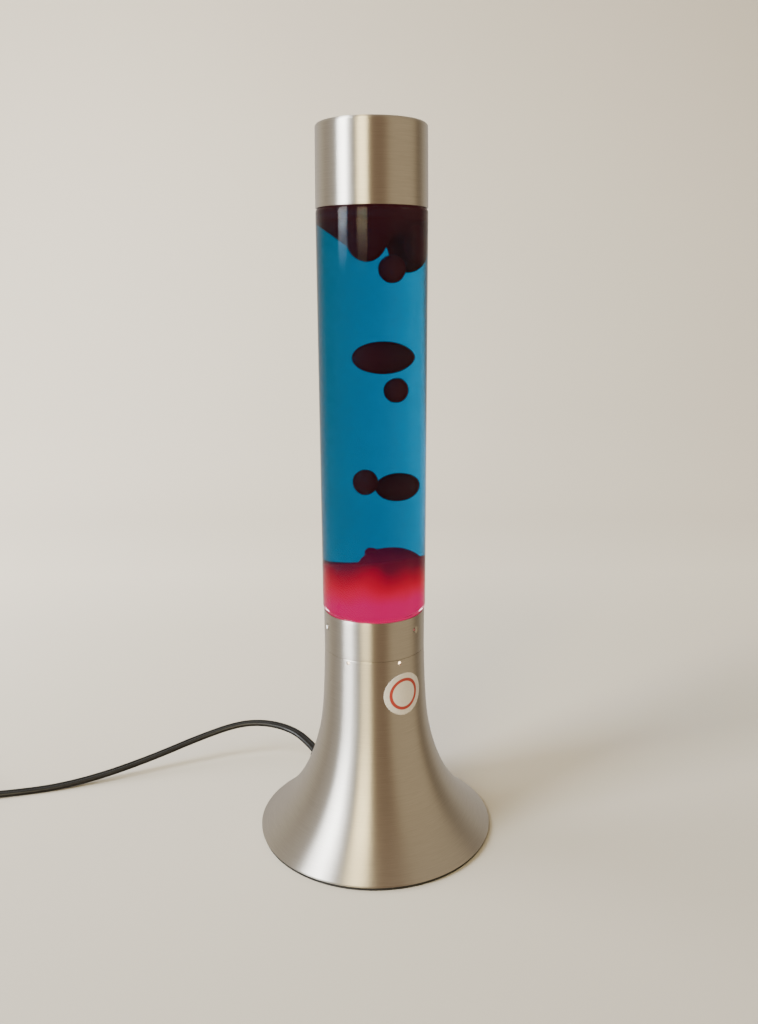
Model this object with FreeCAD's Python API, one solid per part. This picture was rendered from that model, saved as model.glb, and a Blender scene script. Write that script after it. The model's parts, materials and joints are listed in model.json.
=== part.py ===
import FreeCAD, Part
import math
import os

# Liquid motion lamp: a spun trumpet base with a reflector bulb, a glass bottle of liquid and wax
# that lifts out of the base's collar, a cap that lifts off the bottle, and a flat mains cord.
# Millimetres, +Z up. The origin is the lamp's axis where it meets the surface it stands on.
# The front of the lamp faces -Y. Azimuths turn about +Z, anticlockwise from +X seen from above.

V = FreeCAD.Vector
UP = V(0, 0, 1)
ORIGIN = V(0, 0, 0)
RUNNING_GAP = 0.15
FIT_GAP = 0.05
FILM_GAP = 0.1

# Heights of the stack
foot_height = 2.0
hem_height = 1.2
flare_height = 114.9
collar_height = 23.2
glass_shown = 222.9
cap_height = 41.8

rim_z = foot_height + hem_height
step_z = rim_z + flare_height
collar_top = step_z + collar_height
cap_bottom = collar_top + glass_shown
cap_top = cap_bottom + cap_height

# Base shell
rim_radius = 70.4
neck_radius = 29.45
shell_wall = 1.0
hem_width = 3.5
spigot_height = 8.9
flange_inner_radius = 23.0
edge_round = 0.5
# The flare's outline: share of its height, and share of its spread beyond the neck
FLARE_SHAPE = (
    (0.0, 1.0),
    (0.061, 0.801),
    (0.149, 0.568),
    (0.281, 0.332),
    (0.414, 0.183),
    (0.591, 0.067),
    (0.767, 0.0232),
    (1.0, 0.0),
)
RIM_LEAN = 1.263
NECK_LEAN = 0.02

# Ring of air holes below the step
vent_radius = 1.1
vent_drop = 1.9
vent_count = 6
vent_first_azimuth = -60.3

# Collar
collar_wall = 0.85
dimple_radius = 3.2
dimple_depth = 1.0
dimple_hole_radius = 0.9
dimple_height = 14.9
dimple_azimuths = (-156.0, -36.0, 84.0)

# Bottle seat and glass bottle
seat_thickness = 2.0
bottle_radius = 30.0
bottle_wall = 2.0
bottle_foot_radius = 26.9
foot_wall = 2.2
foot_round = 2.5
floor_thickness = 3.0
punt_radius = 21.0
punt_rise = 3.0
heel_radius = 3.0
heel_lift = 2.91
heel_turn = 88.0
shoulder_round = 2.5
shoulder_turn = 80.0
inner_shoulder_round = 1.5
shoulder_drop = 0.3
shoulder_rise = 5.0
mouth_radius = 12.5
bore_radius = 9.0
mouth_height = 25.3
lip_height = 5.3
lip_width = 0.8

# Closure and cap
liner_thickness = 0.8
crown_thickness = 0.35
crown_skirt = 6.2
crown_flare = 2.1
crown_corner = 1.2
crown_flutes = 21
cap_radius_bottom = 30.0
cap_radius_top = 29.5
cap_wall = 0.9
cap_round = 2.0
insert_plate = 2.0
socket_gap = 0.4
socket_wall = 1.5
socket_depth = 17.0
boss_radius = 6.0

# Bottom cover, its screws, foot ring and lampholder bracket
cover_thickness = 2.0
cover_gap = 0.3
foot_ring_inset = 0.8
foot_ring_width = 8.1
screw_inset = 16.4
screw_circle = rim_radius - screw_inset
screw_azimuths = (68.0, 188.0, 308.0)
boss_outer = 5.0
boss_top = 8.8
screw_radius = 1.75
screw_head_radius = 3.4
screw_head_height = 2.2
screw_recess = 0.3
screw_slot_width = 0.8
screw_slot_depth = 0.6
tab_thickness = 1.5
tab_overhang = 5.5
slot_count = 12
slot_length = 18.0
slot_screw_gap = 12.0
slot_width = 4.0
sheet_thickness = 1.2
arm_width = 12.0
plate_radius = 17.0
plate_z = 25.0
arm_bend_inner = 24.0
arm_bend_gap = 8.0
arm_overhang = 6.0

# Clamp on the cord inside the base: a saddle, a bar and two screws
clamp_length = 7.0
clamp_width = 18.0
clamp_bar_height = 4.2
clamp_split = 0.6
clamp_screw_spacing = 12.4
clamp_screw_radius = 1.2
clamp_head_radius = 2.3
clamp_head_height = 1.6

# Threaded tube, nut and lampholder
nipple_radius = 5.0
nipple_bore = 4.0
nipple_length = 8.0
nut_flats = 14.0
nut_thickness = 2.4
holder_radius = 12.5
holder_wall = 1.8
holder_floor = 3.6
holder_cup_height = 18.0
core_thickness = 6.0
core_radius = 10.4
core_flange = 1.5
core_spigot = 1.5
skirt_height = 24.0
skirt_taper = 1.5
skirt_bore = 8.6
skirt_floor = 2.0
sleeve_wall = 0.4
lead_hole_offset = 5.0
lead_hole_radius = 1.3
terminal_width = 4.4
terminal_height = 4.0
terminal_screw_radius = 1.1
terminal_screw_length = 2.2
leaf_width = 3.6
leaf_thickness = 0.4

# Reflector bulb, 39 mm across, on a 14 mm screw cap
bulb_length = 66.0
bulb_bottom_gap = 2.0
bulb_radius = 19.5
bulb_wall = 0.6
bulb_crown_height = 10.0
bulb_belt_height = 4.0
bulb_neck_radius = 8.0
cap_crest_radius = 6.95
thread_depth = 0.45
thread_pitch = 2.82
thread_turns = 5
button_radius = 2.4
button_height = 0.9
insulator_height = 2.5
insulator_radius = 3.2
thread_rise = 4.2
cap_lead_in = 0.6
cap_metal = 0.4
cap_neck = 2.4
seal_gap = 0.3
stem_foot_radius = 4.6
stem_radius = 2.2
stem_taper = 8.0
stem_height = 18.0
filament_drop = 16.0
filament_half = 7.5
filament_bow = 3.2
filament_radius = 0.6
wire_radius = 0.3

# Flat twin cord
cord_width = 6.0
cord_thickness = 3.2
cord_gap = 0.1
lead_radius = 0.95
lead_spacing = 2.6
coil_centre = (-354.0, -49.0)
coil_turn_radius = 38.2
coil_turn_pitch = 3.5
coil_turns_wide = 4
coil_layers = 2
tie_thickness = 0.7
tie_width = 10.0
tie_azimuths = (0.0, 180.0)
# The cord's route, chosen by hand: from inside the base to the switch, on to the coil, and to the plug
ROUTE_TO_SWITCH = (
    (-23.0, 29.5, 10.1),
    (-33.0, 42.3, 14.8),
    (-43.0, 56.7, 20.3),
    (-56.0, 69.6, 25.2),
    (-75.5, 76.7, 27.6),
    (-96.0, 78.2, 26.1),
    (-122.5, 72.0, 19.0),
    (-152.0, 60.0, 10.8),
    (-184.0, 46.5, 4.4),
    (-213.0, 36.0, 1.6),
    (-239.0, 29.5, 1.6),
    (-257.0, 25.2, 2.4),
    (-272.0, 21.4, 8.0),
    (-284.6, 18.25, 8.0),
)
ROUTE_TO_COIL = (
    (-320.4, 9.3, 8.0),
    (-334.0, 5.9, 8.0),
    (-349.0, 1.2, 6.2),
    (-363.0, -6.8, 4.4),
    (-375.9, -17.7, 3.9),
)
ROUTE_TO_PLUG = (
    (-347.4, -86.6, 10.1),
    (-327.0, -82.8, 9.0),
    (-310.0, -81.5, 6.5),
    (-296.0, -82.5, 6.5),
)

# Where the cord leaves the flare
gland_azimuth = 128.0
gland_height = 15.5
gland_lean = 16.0
gland_waist_radius = 5.2
gland_outer_radius = 6.6
gland_tip_radius = 4.3
gland_length = 9.0
gland_inner_radius = 6.8
gland_inner_length = 2.0

# In-line rocker switch
switch_length = 58.0
switch_width = 26.0
switch_height = 16.5
switch_wall = 1.8
switch_split = 8.0
switch_corner = 9.0
switch_edge = 2.5
rocker_length = 19.4
rocker_width = 10.4
rocker_rise = 2.6
rocker_tilt = 9.0
rocker_gap = 0.4
rocker_pin_radius = 1.0
rocker_axis_z = 12.0
rocker_lug = 1.6
switch_screw_inset = 9.0
switch_screw_side = 5.6
switch_pillar_radius = 2.8
switch_screw_radius = 1.25
switch_head_radius = 2.3
switch_head_floor = 2.0

# Plug with two flat blades
plug_length = 26.0
plug_width = 24.0
plug_height = 13.0
plug_boot_length = 14.0
plug_boot_width = 8.4
plug_boot_height = 6.0
plug_boot_grooves = 4
groove_first = 2.2
groove_spacing = 2.8
groove_width = 1.0
groove_depth = 0.7
plug_grip = 7.4
blade_length = 17.5
blade_width = 6.35
blade_thickness = 1.5
blade_spacing = 12.7

# Round label on the flare
label_radius = 12.5
label_thickness = 0.15
label_azimuth = -55.3
label_z = 97.0

# Liquid and wax. Levels of the pool and the lower blobs are above the collar's top, the others below the cap
pool_depth = 29.4
pool_tilt = 13.0
pool_high_side = -67.0
liquid_rise = 7.8
ceiling_depth = 6.7
ceiling_gap = 0.2
wall_film = 1.0
cone_height = 12.3
cone_tip_radius = 7.9
cone_root_radius = 21.5
cone_shift = -3.0
coil_ring_radius = 19.0
coil_ring_thickness = 1.8
# Rounded masses of wax: place from the lamp's axis, level and three half-widths
POOL_MASSES = (
    ((7.0, 0.0, 24.7), (14.5, 13.5, 13.2)),
    ((0.2, -0.6, 31.2), (4.6, 5.0, 5.0)),
    ((-1.2, -1.0, 35.3), (3.0, 3.0, 3.2)),
)
CEILING_LOBES = (
    ((-2.3, -5.0, -14.7), (9.2, 9.5, 13.1)),
    ((14.2, 4.0, -16.2), (8.8, 10.0, 17.2)),
    ((20.6, -8.0, -19.0), (6.2, 6.4, 10.4)),
)
OVAL_BLOB = ((11.2, -2.0, 73.5), (9.6, 9.0, 8.0))
BALL_BLOB = ((-3.8, -15.0, 78.6), (6.2, 6.2, 7.1))
SMALL_BLOB = ((11.4, -15.0, -94.2), (6.3, 6.3, 6.6))
TOP_BLOB = ((9.4, -15.0, -31.3), (6.6, 6.6, 7.1))
# The lens-shaped blob: its middle, and its half-height along X
LENS_PLACE = (4.3, 0.0, -77.7)
LENS_OUTLINE = ((-12.9, 0.0), (-8.0, 6.9), (-0.5, 8.8), (7.0, 6.0), (13.6, 0.0))


def direction(azimuth, lean=0.0):
    a, b = math.radians(azimuth), math.radians(lean)
    return V(math.cos(a) * math.cos(b), math.sin(a) * math.cos(b), math.sin(b))


def turned(shape, azimuth):
    """The shape, turned about the lamp's axis."""
    copy = shape.copy()
    copy.rotate(ORIGIN, UP, azimuth)
    return copy


def cylinder(radius, bottom, top, centre=(0.0, 0.0)):
    return Part.makeCylinder(radius, top - bottom, V(centre[0], centre[1], bottom))


def tube(outer, inner, bottom, top):
    return cylinder(outer, bottom, top).cut(cylinder(inner, bottom - 1, top + 1))


def box(low, high):
    return Part.makeBox(*(b - a for a, b in zip(low, high)), V(*low))


def line(a, b):
    return Part.LineSegment(a, b).toShape()


def arc(a, middle, b):
    return Part.Arc(a, middle, b).toShape()


def at(radius, z):
    """A point of a profile, in the plane that is turned about the axis."""
    return V(radius, 0, z)


def corner_arc(centre, radius, start, end):
    """A profile's arc about its centre, between two angles from the radius direction."""
    points = [
        at(centre[0] + radius * math.cos(math.radians(a)), centre[1] + radius * math.sin(math.radians(a)))
        for a in (start, (start + end) / 2, end)
    ]
    return arc(*points)


def dome(radius, rise, z, inward=False):
    """The arc of a shallow dome whose edge is at z: from the axis out, or from the edge inward."""
    half = radius / 2
    points = [at(0, z + rise), at(half, z + rise - dome_drop(radius, rise, half)), at(radius, z)]
    return arc(*points[::-1]) if inward else arc(*points)


def dome_drop(radius, rise, distance):
    """How far a dome falls, at a distance from its axis."""
    sphere = (radius * radius + rise * rise) / (2 * rise)
    return sphere - math.sqrt(sphere * sphere - distance * distance)


def profile(*parts):
    """A closed wire from points and edges: points are joined by straight lines."""
    edges = []
    last = None
    first = None
    for item in parts:
        start = item if isinstance(item, FreeCAD.Vector) else item.firstVertex(True).Point
        end = item if isinstance(item, FreeCAD.Vector) else item.lastVertex(True).Point
        if last is not None and (start - last).Length > 1e-6:
            edges.append(line(last, start))
        if not isinstance(item, FreeCAD.Vector):
            edges.append(item)
        if first is None:
            first = start
        last = end
    if (first - last).Length > 1e-6:
        edges.append(line(last, first))
    return Part.Wire(edges)


def lathe(*parts):
    """The solid that a closed profile sweeps about the lamp's axis."""
    return Part.Face(profile(*parts)).revolve(ORIGIN, UP, 360)


def joined(shapes):
    """The shapes as one solid."""
    first, *rest = shapes
    return first.multiFuse(rest).removeSplitter() if rest else first


def grouped(shapes):
    """Several separate solids in one node."""
    return Part.makeCompound(shapes)


def ellipsoid(centre, radii, grow=0.0):
    """An ellipsoid with its three half-widths."""
    matrix = FreeCAD.Matrix()
    matrix.scale(radii[0] + grow, radii[1] + grow, radii[2] + grow)
    shape = Part.makeSphere(1.0).transformGeometry(matrix)
    shape.translate(V(*centre))
    return shape


# Cords: straight runs joined by tangent arcs


def route_wire(points, name):
    """The route's runs with an arc at each point, and the arcs' radii printed."""
    points = [V(*p) for p in points]
    edges, radii, last = [], [], points[0]
    for before, corner, after in zip(points, points[1:], points[2:]):
        into, out = (corner - before), (after - corner)
        reach = 0.45 * min(into.Length, out.Length)
        into.normalize()
        out.normalize()
        half_turn = into.getAngle(out) / 2
        radius = reach / math.tan(half_turn)
        start, end = corner - into * reach, corner + out * reach
        inward = (out - into).normalize()
        middle = corner + inward * (radius / math.cos(half_turn) - radius)
        edges += [line(last, start), arc(start, middle, end)]
        radii.append(round(radius, 1))
        last = end
    edges.append(line(last, points[-1]))
    print(name, "bend radii", radii)
    return Part.Wire(edges)


def flat_section(point, along, width, thickness, sideways=None):
    """A flat cord's outline, round at both edges, square to the cord."""
    side = UP.cross(along).normalize() if sideways is None else sideways
    normal = along.cross(side).normalize()
    half, r = (width - thickness) / 2, thickness / 2
    a, b = point + side * half, point - side * half
    return Part.Wire(
        [
            arc(a + normal * r, a + side * r, a - normal * r),
            line(a - normal * r, b - normal * r),
            arc(b - normal * r, b - side * r, b + normal * r),
            line(b + normal * r, a + normal * r),
        ]
    )


def flat_cord(points, name, grow=0.0):
    """A flat cord along the route. It is swept from its last point, where it lies level."""
    wire = route_wire(points[::-1], name)
    start = V(*points[-1])
    along = (V(*points[-2]) - start).normalize()
    width, thickness = cord_width + 2 * grow, cord_thickness + 2 * grow
    section = flat_section(start, along, width, thickness)
    solid = wire.makePipeShell([section], True, False)
    area = Part.Face(section).Area
    print(name, "volume", round(solid.Volume, 1), "section times length", round(area * wire.Length, 1))
    return solid


def round_cord(points, radius, name):
    wire = route_wire(points, name)
    start = V(*points[0])
    along = (V(*points[1]) - start).normalize()
    section = Part.Wire([Part.Circle(start, along, radius).toShape()])
    return wire.makePipeShell([section], True, False)


# The base


def flare_curve(offset):
    """The flare's outline from the rim up to the step, moved out by offset square to itself."""
    spread = rim_radius - neck_radius
    outer = [at(neck_radius + spread * w, rim_z + flare_height * h) for h, w in FLARE_SHAPE]
    ends = {"InitialTangent": V(-RIM_LEAN, 0, 1).normalize(), "FinalTangent": V(-NECK_LEAN, 0, 1)}
    curve = Part.BSplineCurve()
    curve.interpolate(Points=outer, **ends)
    if offset == 0:
        return curve
    shifted = Part.BSplineCurve()
    shifted.interpolate(Points=[p + flare_facing(curve, p) * offset for p in outer], **ends)
    return shifted


def flare_facing(curve, point):
    """The direction square to the flare's outline at one of its points."""
    tangent = curve.tangent(curve.parameter(point))[0]
    return V(tangent.z, 0, -tangent.x).normalize()


def flare_body(offset, shift=ORIGIN):
    """Everything inside the flare's outline moved out by offset, and then as a whole by shift."""
    edge = flare_curve(offset).toShape()
    edge.translate(shift)
    low, high = edge.firstVertex(True).Point, edge.lastVertex(True).Point
    return lathe(at(0, -1), at(low.x, -1), low, edge, high, at(0, high.z))


def gland_axis():
    """Where the cord passes through the flare, and its direction there."""
    radius = flare_radius(gland_height)
    return direction(gland_azimuth) * radius + UP * gland_height, direction(gland_azimuth, gland_lean)


def flare_radius(z):
    """The flare's outside radius at a height."""
    level = Part.LineSegment(at(0, z), at(rim_radius * 2, z))
    return flare_curve(0).intersect(level)[0].X


def base_shell():
    """Spun aluminium trumpet: hem, flare, spigot for the collar and inward flange for the bottle's seat."""
    hem = cylinder(rim_radius, foot_height, rim_z)
    flare = flare_body(0).cut(cylinder(rim_radius + 1, -2, rim_z))
    spigot_radius = neck_radius - collar_wall - FIT_GAP
    spigot_top = step_z + spigot_height
    outside = joined([hem, flare, cylinder(spigot_radius, step_z - 1, spigot_top)])
    inside = flare_body(-shell_wall).common(cylinder(rim_radius - hem_width, -1, step_z - shell_wall))
    neck = cylinder(spigot_radius - shell_wall, step_z - 2 * shell_wall, spigot_top - shell_wall)
    shell = outside.cut(inside).cut(neck).cut(cylinder(flange_inner_radius, 0, spigot_top + 1))
    step_edge = [e for e in shell.Edges if is_circle(e, neck_radius, step_z)]
    shell = shell.makeFillet(edge_round, step_edge)
    for azimuth in screw_azimuths:
        shell = shell.fuse(shell_tab(azimuth))
    return shell.cut(grouped(vent_cutters() + [gland_hole()]))


def is_circle(edge, radius, z):
    box_ = edge.BoundBox
    return abs(box_.ZMax - z) < 0.01 and abs(box_.ZMin - z) < 0.01 and abs(box_.XMax - radius) < 0.02


def tab_z():
    return boss_top + sheet_thickness


def shell_tab(azimuth):
    """A tab welded inside the flare, which a cover screw threads into."""
    half = arm_width / 2
    inner = screw_circle - tab_overhang
    block = turned(box((inner, -half, tab_z()), (rim_radius, half, tab_z() + tab_thickness)), azimuth)
    block = block.common(flare_body(-shell_wall / 2))
    at_screw = direction(azimuth) * screw_circle
    hole = cylinder(screw_radius + FIT_GAP, tab_z() - 1, tab_z() + 3, (at_screw.x, at_screw.y))
    return block.cut(hole)


def vent_cutters():
    azimuths = [vent_first_azimuth + k * 360 / vent_count for k in range(vent_count)]
    start, reach = UP * (step_z - vent_drop), neck_radius + 2
    return [Part.makeCylinder(vent_radius, reach, start, direction(azimuth)) for azimuth in azimuths]


def gland_hole():
    place, along = gland_axis()
    return Part.makeCylinder(gland_waist_radius + FIT_GAP, 20, place - along * 10, along)


def cord_gland():
    """Strain relief: a tapered boot outside, a waist in the wall and a collar inside."""
    place, along = gland_axis()
    reach = gland_outer_radius + 2
    boot = Part.makeCone(
        gland_outer_radius, gland_tip_radius, gland_length + reach, place - along * reach, along
    )
    boot = boot.cut(flare_body(FIT_GAP))
    waist = Part.makeCylinder(gland_waist_radius, 16, place - along * 8, along)
    waist = waist.common(flare_body(FIT_GAP * 2)).cut(flare_body(-shell_wall - FIT_GAP * 2))
    lock = Part.makeCylinder(gland_inner_radius, 20, place - along * 14, along)
    wall_side = flare_body(-shell_wall - FIT_GAP)
    deep_side = flare_body(-shell_wall - FIT_GAP - gland_inner_length)
    lock = lock.common(wall_side).cut(deep_side)
    return joined([boot, waist, lock])


def collar():
    """Sleeve over the spigot with three dimpled holes, whose bosses centre the bottle's foot."""
    inner = neck_radius - collar_wall
    sleeve = tube(neck_radius, inner, step_z, collar_top)
    rounded = [e for e in sleeve.Edges if is_circle(e, neck_radius, step_z)]
    sleeve = sleeve.makeFillet(edge_round, rounded)
    bosses, hollows = [], []
    for azimuth in dimple_azimuths:
        centre_radius = neck_radius - dimple_depth + dimple_radius
        centre = direction(azimuth) * centre_radius + UP * (step_z + dimple_height)
        bosses.append(Part.makeSphere(dimple_radius + collar_wall, centre))
        hollows.append(Part.makeSphere(dimple_radius, centre))
        hollows.append(Part.makeCylinder(dimple_hole_radius, 12, centre, direction(azimuth) * -1))
    inside = cylinder(inner + FIT_GAP, step_z, collar_top)
    bosses = [b.common(inside) for b in bosses]
    return joined([sleeve] + bosses).cut(grouped(hollows))


def seat_z():
    return step_z + spigot_height


def seat_ring():
    """Heat-proof ring on the flange, under the bottle's foot."""
    spigot_radius = neck_radius - collar_wall - FIT_GAP
    return tube(spigot_radius, flange_inner_radius, seat_z(), seat_z() + seat_thickness)


def label_disc():
    """Thin round label that follows the flare."""
    out = direction(label_azimuth)
    facing = flare_facing(flare_curve(0), at(flare_radius(label_z), label_z))
    skin = flare_body(0, facing * (FIT_GAP + label_thickness)).cut(flare_body(0, facing * FIT_GAP))
    core = Part.makeCylinder(label_radius, rim_radius, out * 10 + UP * label_z, out)
    return skin.common(core)


# Underside and lampholder


def foot_ring():
    outer = rim_radius - foot_ring_inset
    return tube(outer, outer - foot_ring_width, 0, foot_height)


def cover_top():
    return foot_height + cover_thickness


def bottom_cover():
    """Black plastic cover with air slots, three screw bosses and a saddle for the cord."""
    plate = cylinder(rim_radius - hem_width - cover_gap, foot_height, cover_top())
    solid, holes = [plate], []
    for azimuth in screw_azimuths:
        at_screw = direction(azimuth) * screw_circle
        centre = (at_screw.x, at_screw.y)
        solid.append(cylinder(boss_outer, foot_height, boss_top, centre))
        head_top = foot_height + screw_recess + screw_head_height
        holes.append(cylinder(screw_head_radius + RUNNING_GAP, foot_height - 1, head_top, centre))
        holes.append(cylinder(screw_radius + RUNNING_GAP, foot_height, boss_top + 1, centre))
    slot_end = screw_circle - slot_screw_gap
    for k in range(slot_count):
        slot = box((slot_end - slot_length, -slot_width / 2, 0), (slot_end, slot_width / 2, cover_top() + 1))
        holes.append(turned(slot, gland_azimuth + (k + 0.5) * 360 / slot_count))
    solid.append(clamp_half(False))
    return joined(solid).cut(grouped(holes))


def clamp_place():
    """Middle of the cord in its clamp: half of the way along the cord's first run."""
    inner, outer = V(*ROUTE_TO_SWITCH[0]), V(*ROUTE_TO_SWITCH[1])
    return inner + (outer - inner) * 0.5


def clamp_half(upper):
    """The saddle under the cord, or the bar over it."""
    place = clamp_place()
    radius, half_long, half_wide = math.hypot(place.x, place.y), clamp_length / 2, clamp_width / 2
    low = place.z + clamp_split / 2 if upper else foot_height + cover_thickness / 2
    high = place.z + clamp_bar_height if upper else place.z - clamp_split / 2
    block = box((radius - half_long, -half_wide, low), (radius + half_long, half_wide, high))
    block = turned(block, math.degrees(math.atan2(place.y, place.x)))
    holes = [cylinder(r, low - 1, high + 1, (c.x, c.y)) for c, r in clamp_screw_holes(upper)]
    return block.cut(grouped(holes))


def clamp_screw_centres():
    place = clamp_place()
    side = UP.cross(V(place.x, place.y, 0)).normalize()
    return [V(place.x, place.y, 0) + side * (s * clamp_screw_spacing / 2) for s in (-1, 1)]


def clamp_screw_holes(upper):
    radius = clamp_screw_radius + (RUNNING_GAP if upper else FIT_GAP)
    return [(c, radius) for c in clamp_screw_centres()]


def cord_clamp():
    return clamp_half(True)


def clamp_screws():
    top = clamp_place().z + clamp_bar_height
    screws = []
    for centre in clamp_screw_centres():
        shank = cylinder(clamp_screw_radius, cover_top() + 0.5, top + 0.5, (centre.x, centre.y))
        head = cylinder(clamp_head_radius, top, top + clamp_head_height, (centre.x, centre.y))
        screws.append(joined([shank, head]))
    return grouped(screws)


def cover_screws():
    screws = []
    for azimuth in screw_azimuths:
        c = direction(azimuth) * screw_circle
        head_bottom = foot_height + screw_recess
        head = cylinder(screw_head_radius, head_bottom, head_bottom + screw_head_height, (c.x, c.y))
        shank = cylinder(screw_radius, head_bottom + 1, tab_z() + tab_thickness + 1.2, (c.x, c.y))
        wide, half, deep = screw_head_radius + 1, screw_slot_width / 2, head_bottom + screw_slot_depth
        slot = turned(box((-wide, -half, head_bottom - 1), (wide, half, deep)), azimuth)
        slot.translate(c)
        screws.append(joined([head, shank]).cut(slot))
    return grouped(screws)


def holder_bracket():
    """Three-armed pressed steel bracket between the lampholder and the screw bosses."""
    low, high, t = boss_top, plate_z, sheet_thickness
    bend, end = screw_circle - arm_bend_gap, screw_circle + arm_overhang
    outline = [
        at(0, high), at(arm_bend_inner, high), at(bend, low), at(end, low), at(end, low + t),
        at(bend + t / 2, low + t), at(arm_bend_inner + t / 2, high + t), at(0, high + t),
    ]
    arm = Part.Face(profile(*outline)).extrude(V(0, arm_width, 0))
    arm.translate(V(0, -arm_width / 2, 0))
    plate = cylinder(plate_radius, high, high + t)
    holes = [cylinder(nipple_radius + RUNNING_GAP, high - 1, high + t + 1)]
    for azimuth in screw_azimuths:
        c = direction(azimuth) * screw_circle
        holes.append(cylinder(screw_radius + 0.4, low - 1, low + t + 1, (c.x, c.y)))
    return joined([plate] + [turned(arm, a) for a in screw_azimuths]).cut(grouped(holes))


def holder_z():
    """Where the lampholder stands on the bracket."""
    return plate_z + sheet_thickness


def holder_nipple():
    top = holder_z() + holder_floor
    return tube(nipple_radius, nipple_bore, top - nipple_length, top)


def nipple_nut():
    hexagon = Part.makePolygon(
        [direction(60 * k + 30) * (nut_flats / 2 / math.cos(math.pi / 6)) for k in range(7)]
    )
    nut = Part.Face(hexagon).extrude(UP * nut_thickness)
    nut.translate(UP * (plate_z - nut_thickness))
    return nut.cut(cylinder(nipple_radius + FIT_GAP, 0, plate_z + 1))


def lampholder_base():
    low = holder_z()
    cup = cylinder(holder_radius, low, low + holder_cup_height)
    hollow = cylinder(holder_radius - holder_wall, low + holder_floor, low + holder_cup_height + 1)
    return cup.cut(hollow).cut(cylinder(nipple_radius + FIT_GAP, low - 1, low + holder_floor + 1))


def core_z():
    return holder_z() + holder_cup_height


def core_top():
    return core_z() + core_thickness


def lampholder_core():
    """Ceramic core on the cup's rim, with a spigot into the cup and holes for the two leads."""
    core = joined(
        [
            cylinder(holder_radius - holder_wall - RUNNING_GAP, core_z() - core_spigot, core_z() + 1),
            cylinder(core_radius, core_z(), core_top()),
            cylinder(holder_radius, core_z(), core_z() + core_flange),
        ]
    )
    places = [(s * lead_hole_offset, 0) for s in (-1, 1)]
    return core.cut(grouped([cylinder(lead_hole_radius, core_z() - 3, core_top() + 1, p) for p in places]))


def lampholder_skirt():
    """Heat-proof skirt round the screw sleeve, standing on the core's flange."""
    low = core_z() + core_flange
    outer = Part.makeCone(holder_radius, holder_radius - skirt_taper, skirt_height, V(0, 0, low))
    bore = cylinder(skirt_bore, low + skirt_floor, low + skirt_height + 1)
    return outer.cut(bore).cut(cylinder(core_radius + RUNNING_GAP, low - 1, core_top() + RUNNING_GAP))


def thread_edges(radius, depth, low):
    """A rounded screw profile, as one arc for each turn."""
    root = radius - depth
    levels = [low + k * thread_pitch for k in range(thread_turns)]
    return [arc(at(root, z), at(radius, z + thread_pitch / 2), at(root, z + thread_pitch)) for z in levels]


def bulb_z():
    """The bulb's lowest point, its centre button."""
    return core_top() + bulb_bottom_gap


def thread_z():
    return bulb_z() + thread_rise


def lampholder_sleeve():
    """Brass screw sleeve that takes the bulb's cap."""
    low = thread_z()
    inner = cap_crest_radius + RUNNING_GAP
    height = thread_turns * thread_pitch
    outer = inner + sleeve_wall
    outside = thread_edges(outer + thread_depth, thread_depth, low)
    skin = lathe(at(0, core_top()), at(outer, core_top()), *outside, at(0, low + height))
    inside = thread_edges(inner + thread_depth, thread_depth, low)
    floor, mouth = core_top() - 1, low + height + 1
    bore = lathe(at(0, floor), at(inner, floor), *inside, at(inner, mouth), at(0, mouth))
    return skin.cut(bore)


def centre_contact():
    """Springy brass leaf under the bulb's button, riveted to the core."""
    low = core_top()
    top = bulb_z() - FIT_GAP
    t = leaf_thickness
    outline = [
        at(-5.0, low), at(0.5, low), at(0.5, low + t), at(-4.2, low + t), at(-0.5, top - t),
        at(2.4, top - t), at(2.4, top), at(-0.8, top), at(-5.0, low + t),
    ]
    leaf = Part.Face(profile(*outline)).extrude(V(0, leaf_width, 0))
    leaf.translate(V(0, -leaf_width / 2, 0))
    return leaf


def holder_terminals():
    """Two brass terminal blocks under the core, one for each lead."""
    blocks = []
    half, high = terminal_width / 2, core_z() - core_spigot
    low = high - terminal_height
    for side in (-1, 1):
        x = side * lead_hole_offset
        block = box((x - half, -half, low), (x + half, half, high))
        screw_place = V(x, -half, (low + high) / 2)
        screw = Part.makeCylinder(terminal_screw_radius, terminal_screw_length, screw_place, V(0, -1, 0))
        wire_hole = cylinder(lead_radius + FIT_GAP, 0, high - 1, (x, 0))
        blocks.append(joined([block, screw]).cut(wire_hole))
    return grouped(blocks)


def lead(side, name):
    """One insulated wire from the cord's end, up through the threaded tube, to its terminal."""
    start = V(*ROUTE_TO_SWITCH[0])
    along = (start - V(*ROUTE_TO_SWITCH[1])).normalize()
    across = UP.cross(along).normalize() * (side * lead_spacing / 2)
    out = V(-start.x, -start.y, 0).normalize()
    first = start + across
    points = [
        first,
        first + along * 7,
        V(0, 0, 13.5) - out * 9 + across,
        V(0, 0, 19.0) - out * 0.5 + across,
        V(0, 0, 27.5) + across * 0.95,
        V(side * 1.9, 0, 31.5),
        V(side * lead_hole_offset, 0, core_z() - 7.2),
        V(side * lead_hole_offset, 0, core_z() - 2.6),
    ]
    return round_cord([tuple(p) for p in points], lead_radius, name)


# The bulb


def bulb_cap_z():
    return bulb_z() + button_height + insulator_height


def bulb_cap_root():
    return cap_crest_radius - thread_depth


def bulb_glass_z():
    """Where the envelope's glass starts, just above the cap's last thread."""
    return thread_z() + thread_turns * thread_pitch + seal_gap


def bulb_contact():
    return joined(
        [
            cylinder(button_radius, bulb_z() + 0.3, bulb_z() + button_height),
            Part.makeCone(1.4, button_radius, 0.3, V(0, 0, bulb_z())),
        ]
    )


def bulb_insulator():
    """Black glass cone between the button and the screw cap."""
    low = bulb_z() + button_height
    high = bulb_cap_z()
    return Part.makeCone(insulator_radius, bulb_cap_root() - cap_lead_in, high - low, V(0, 0, low))


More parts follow.
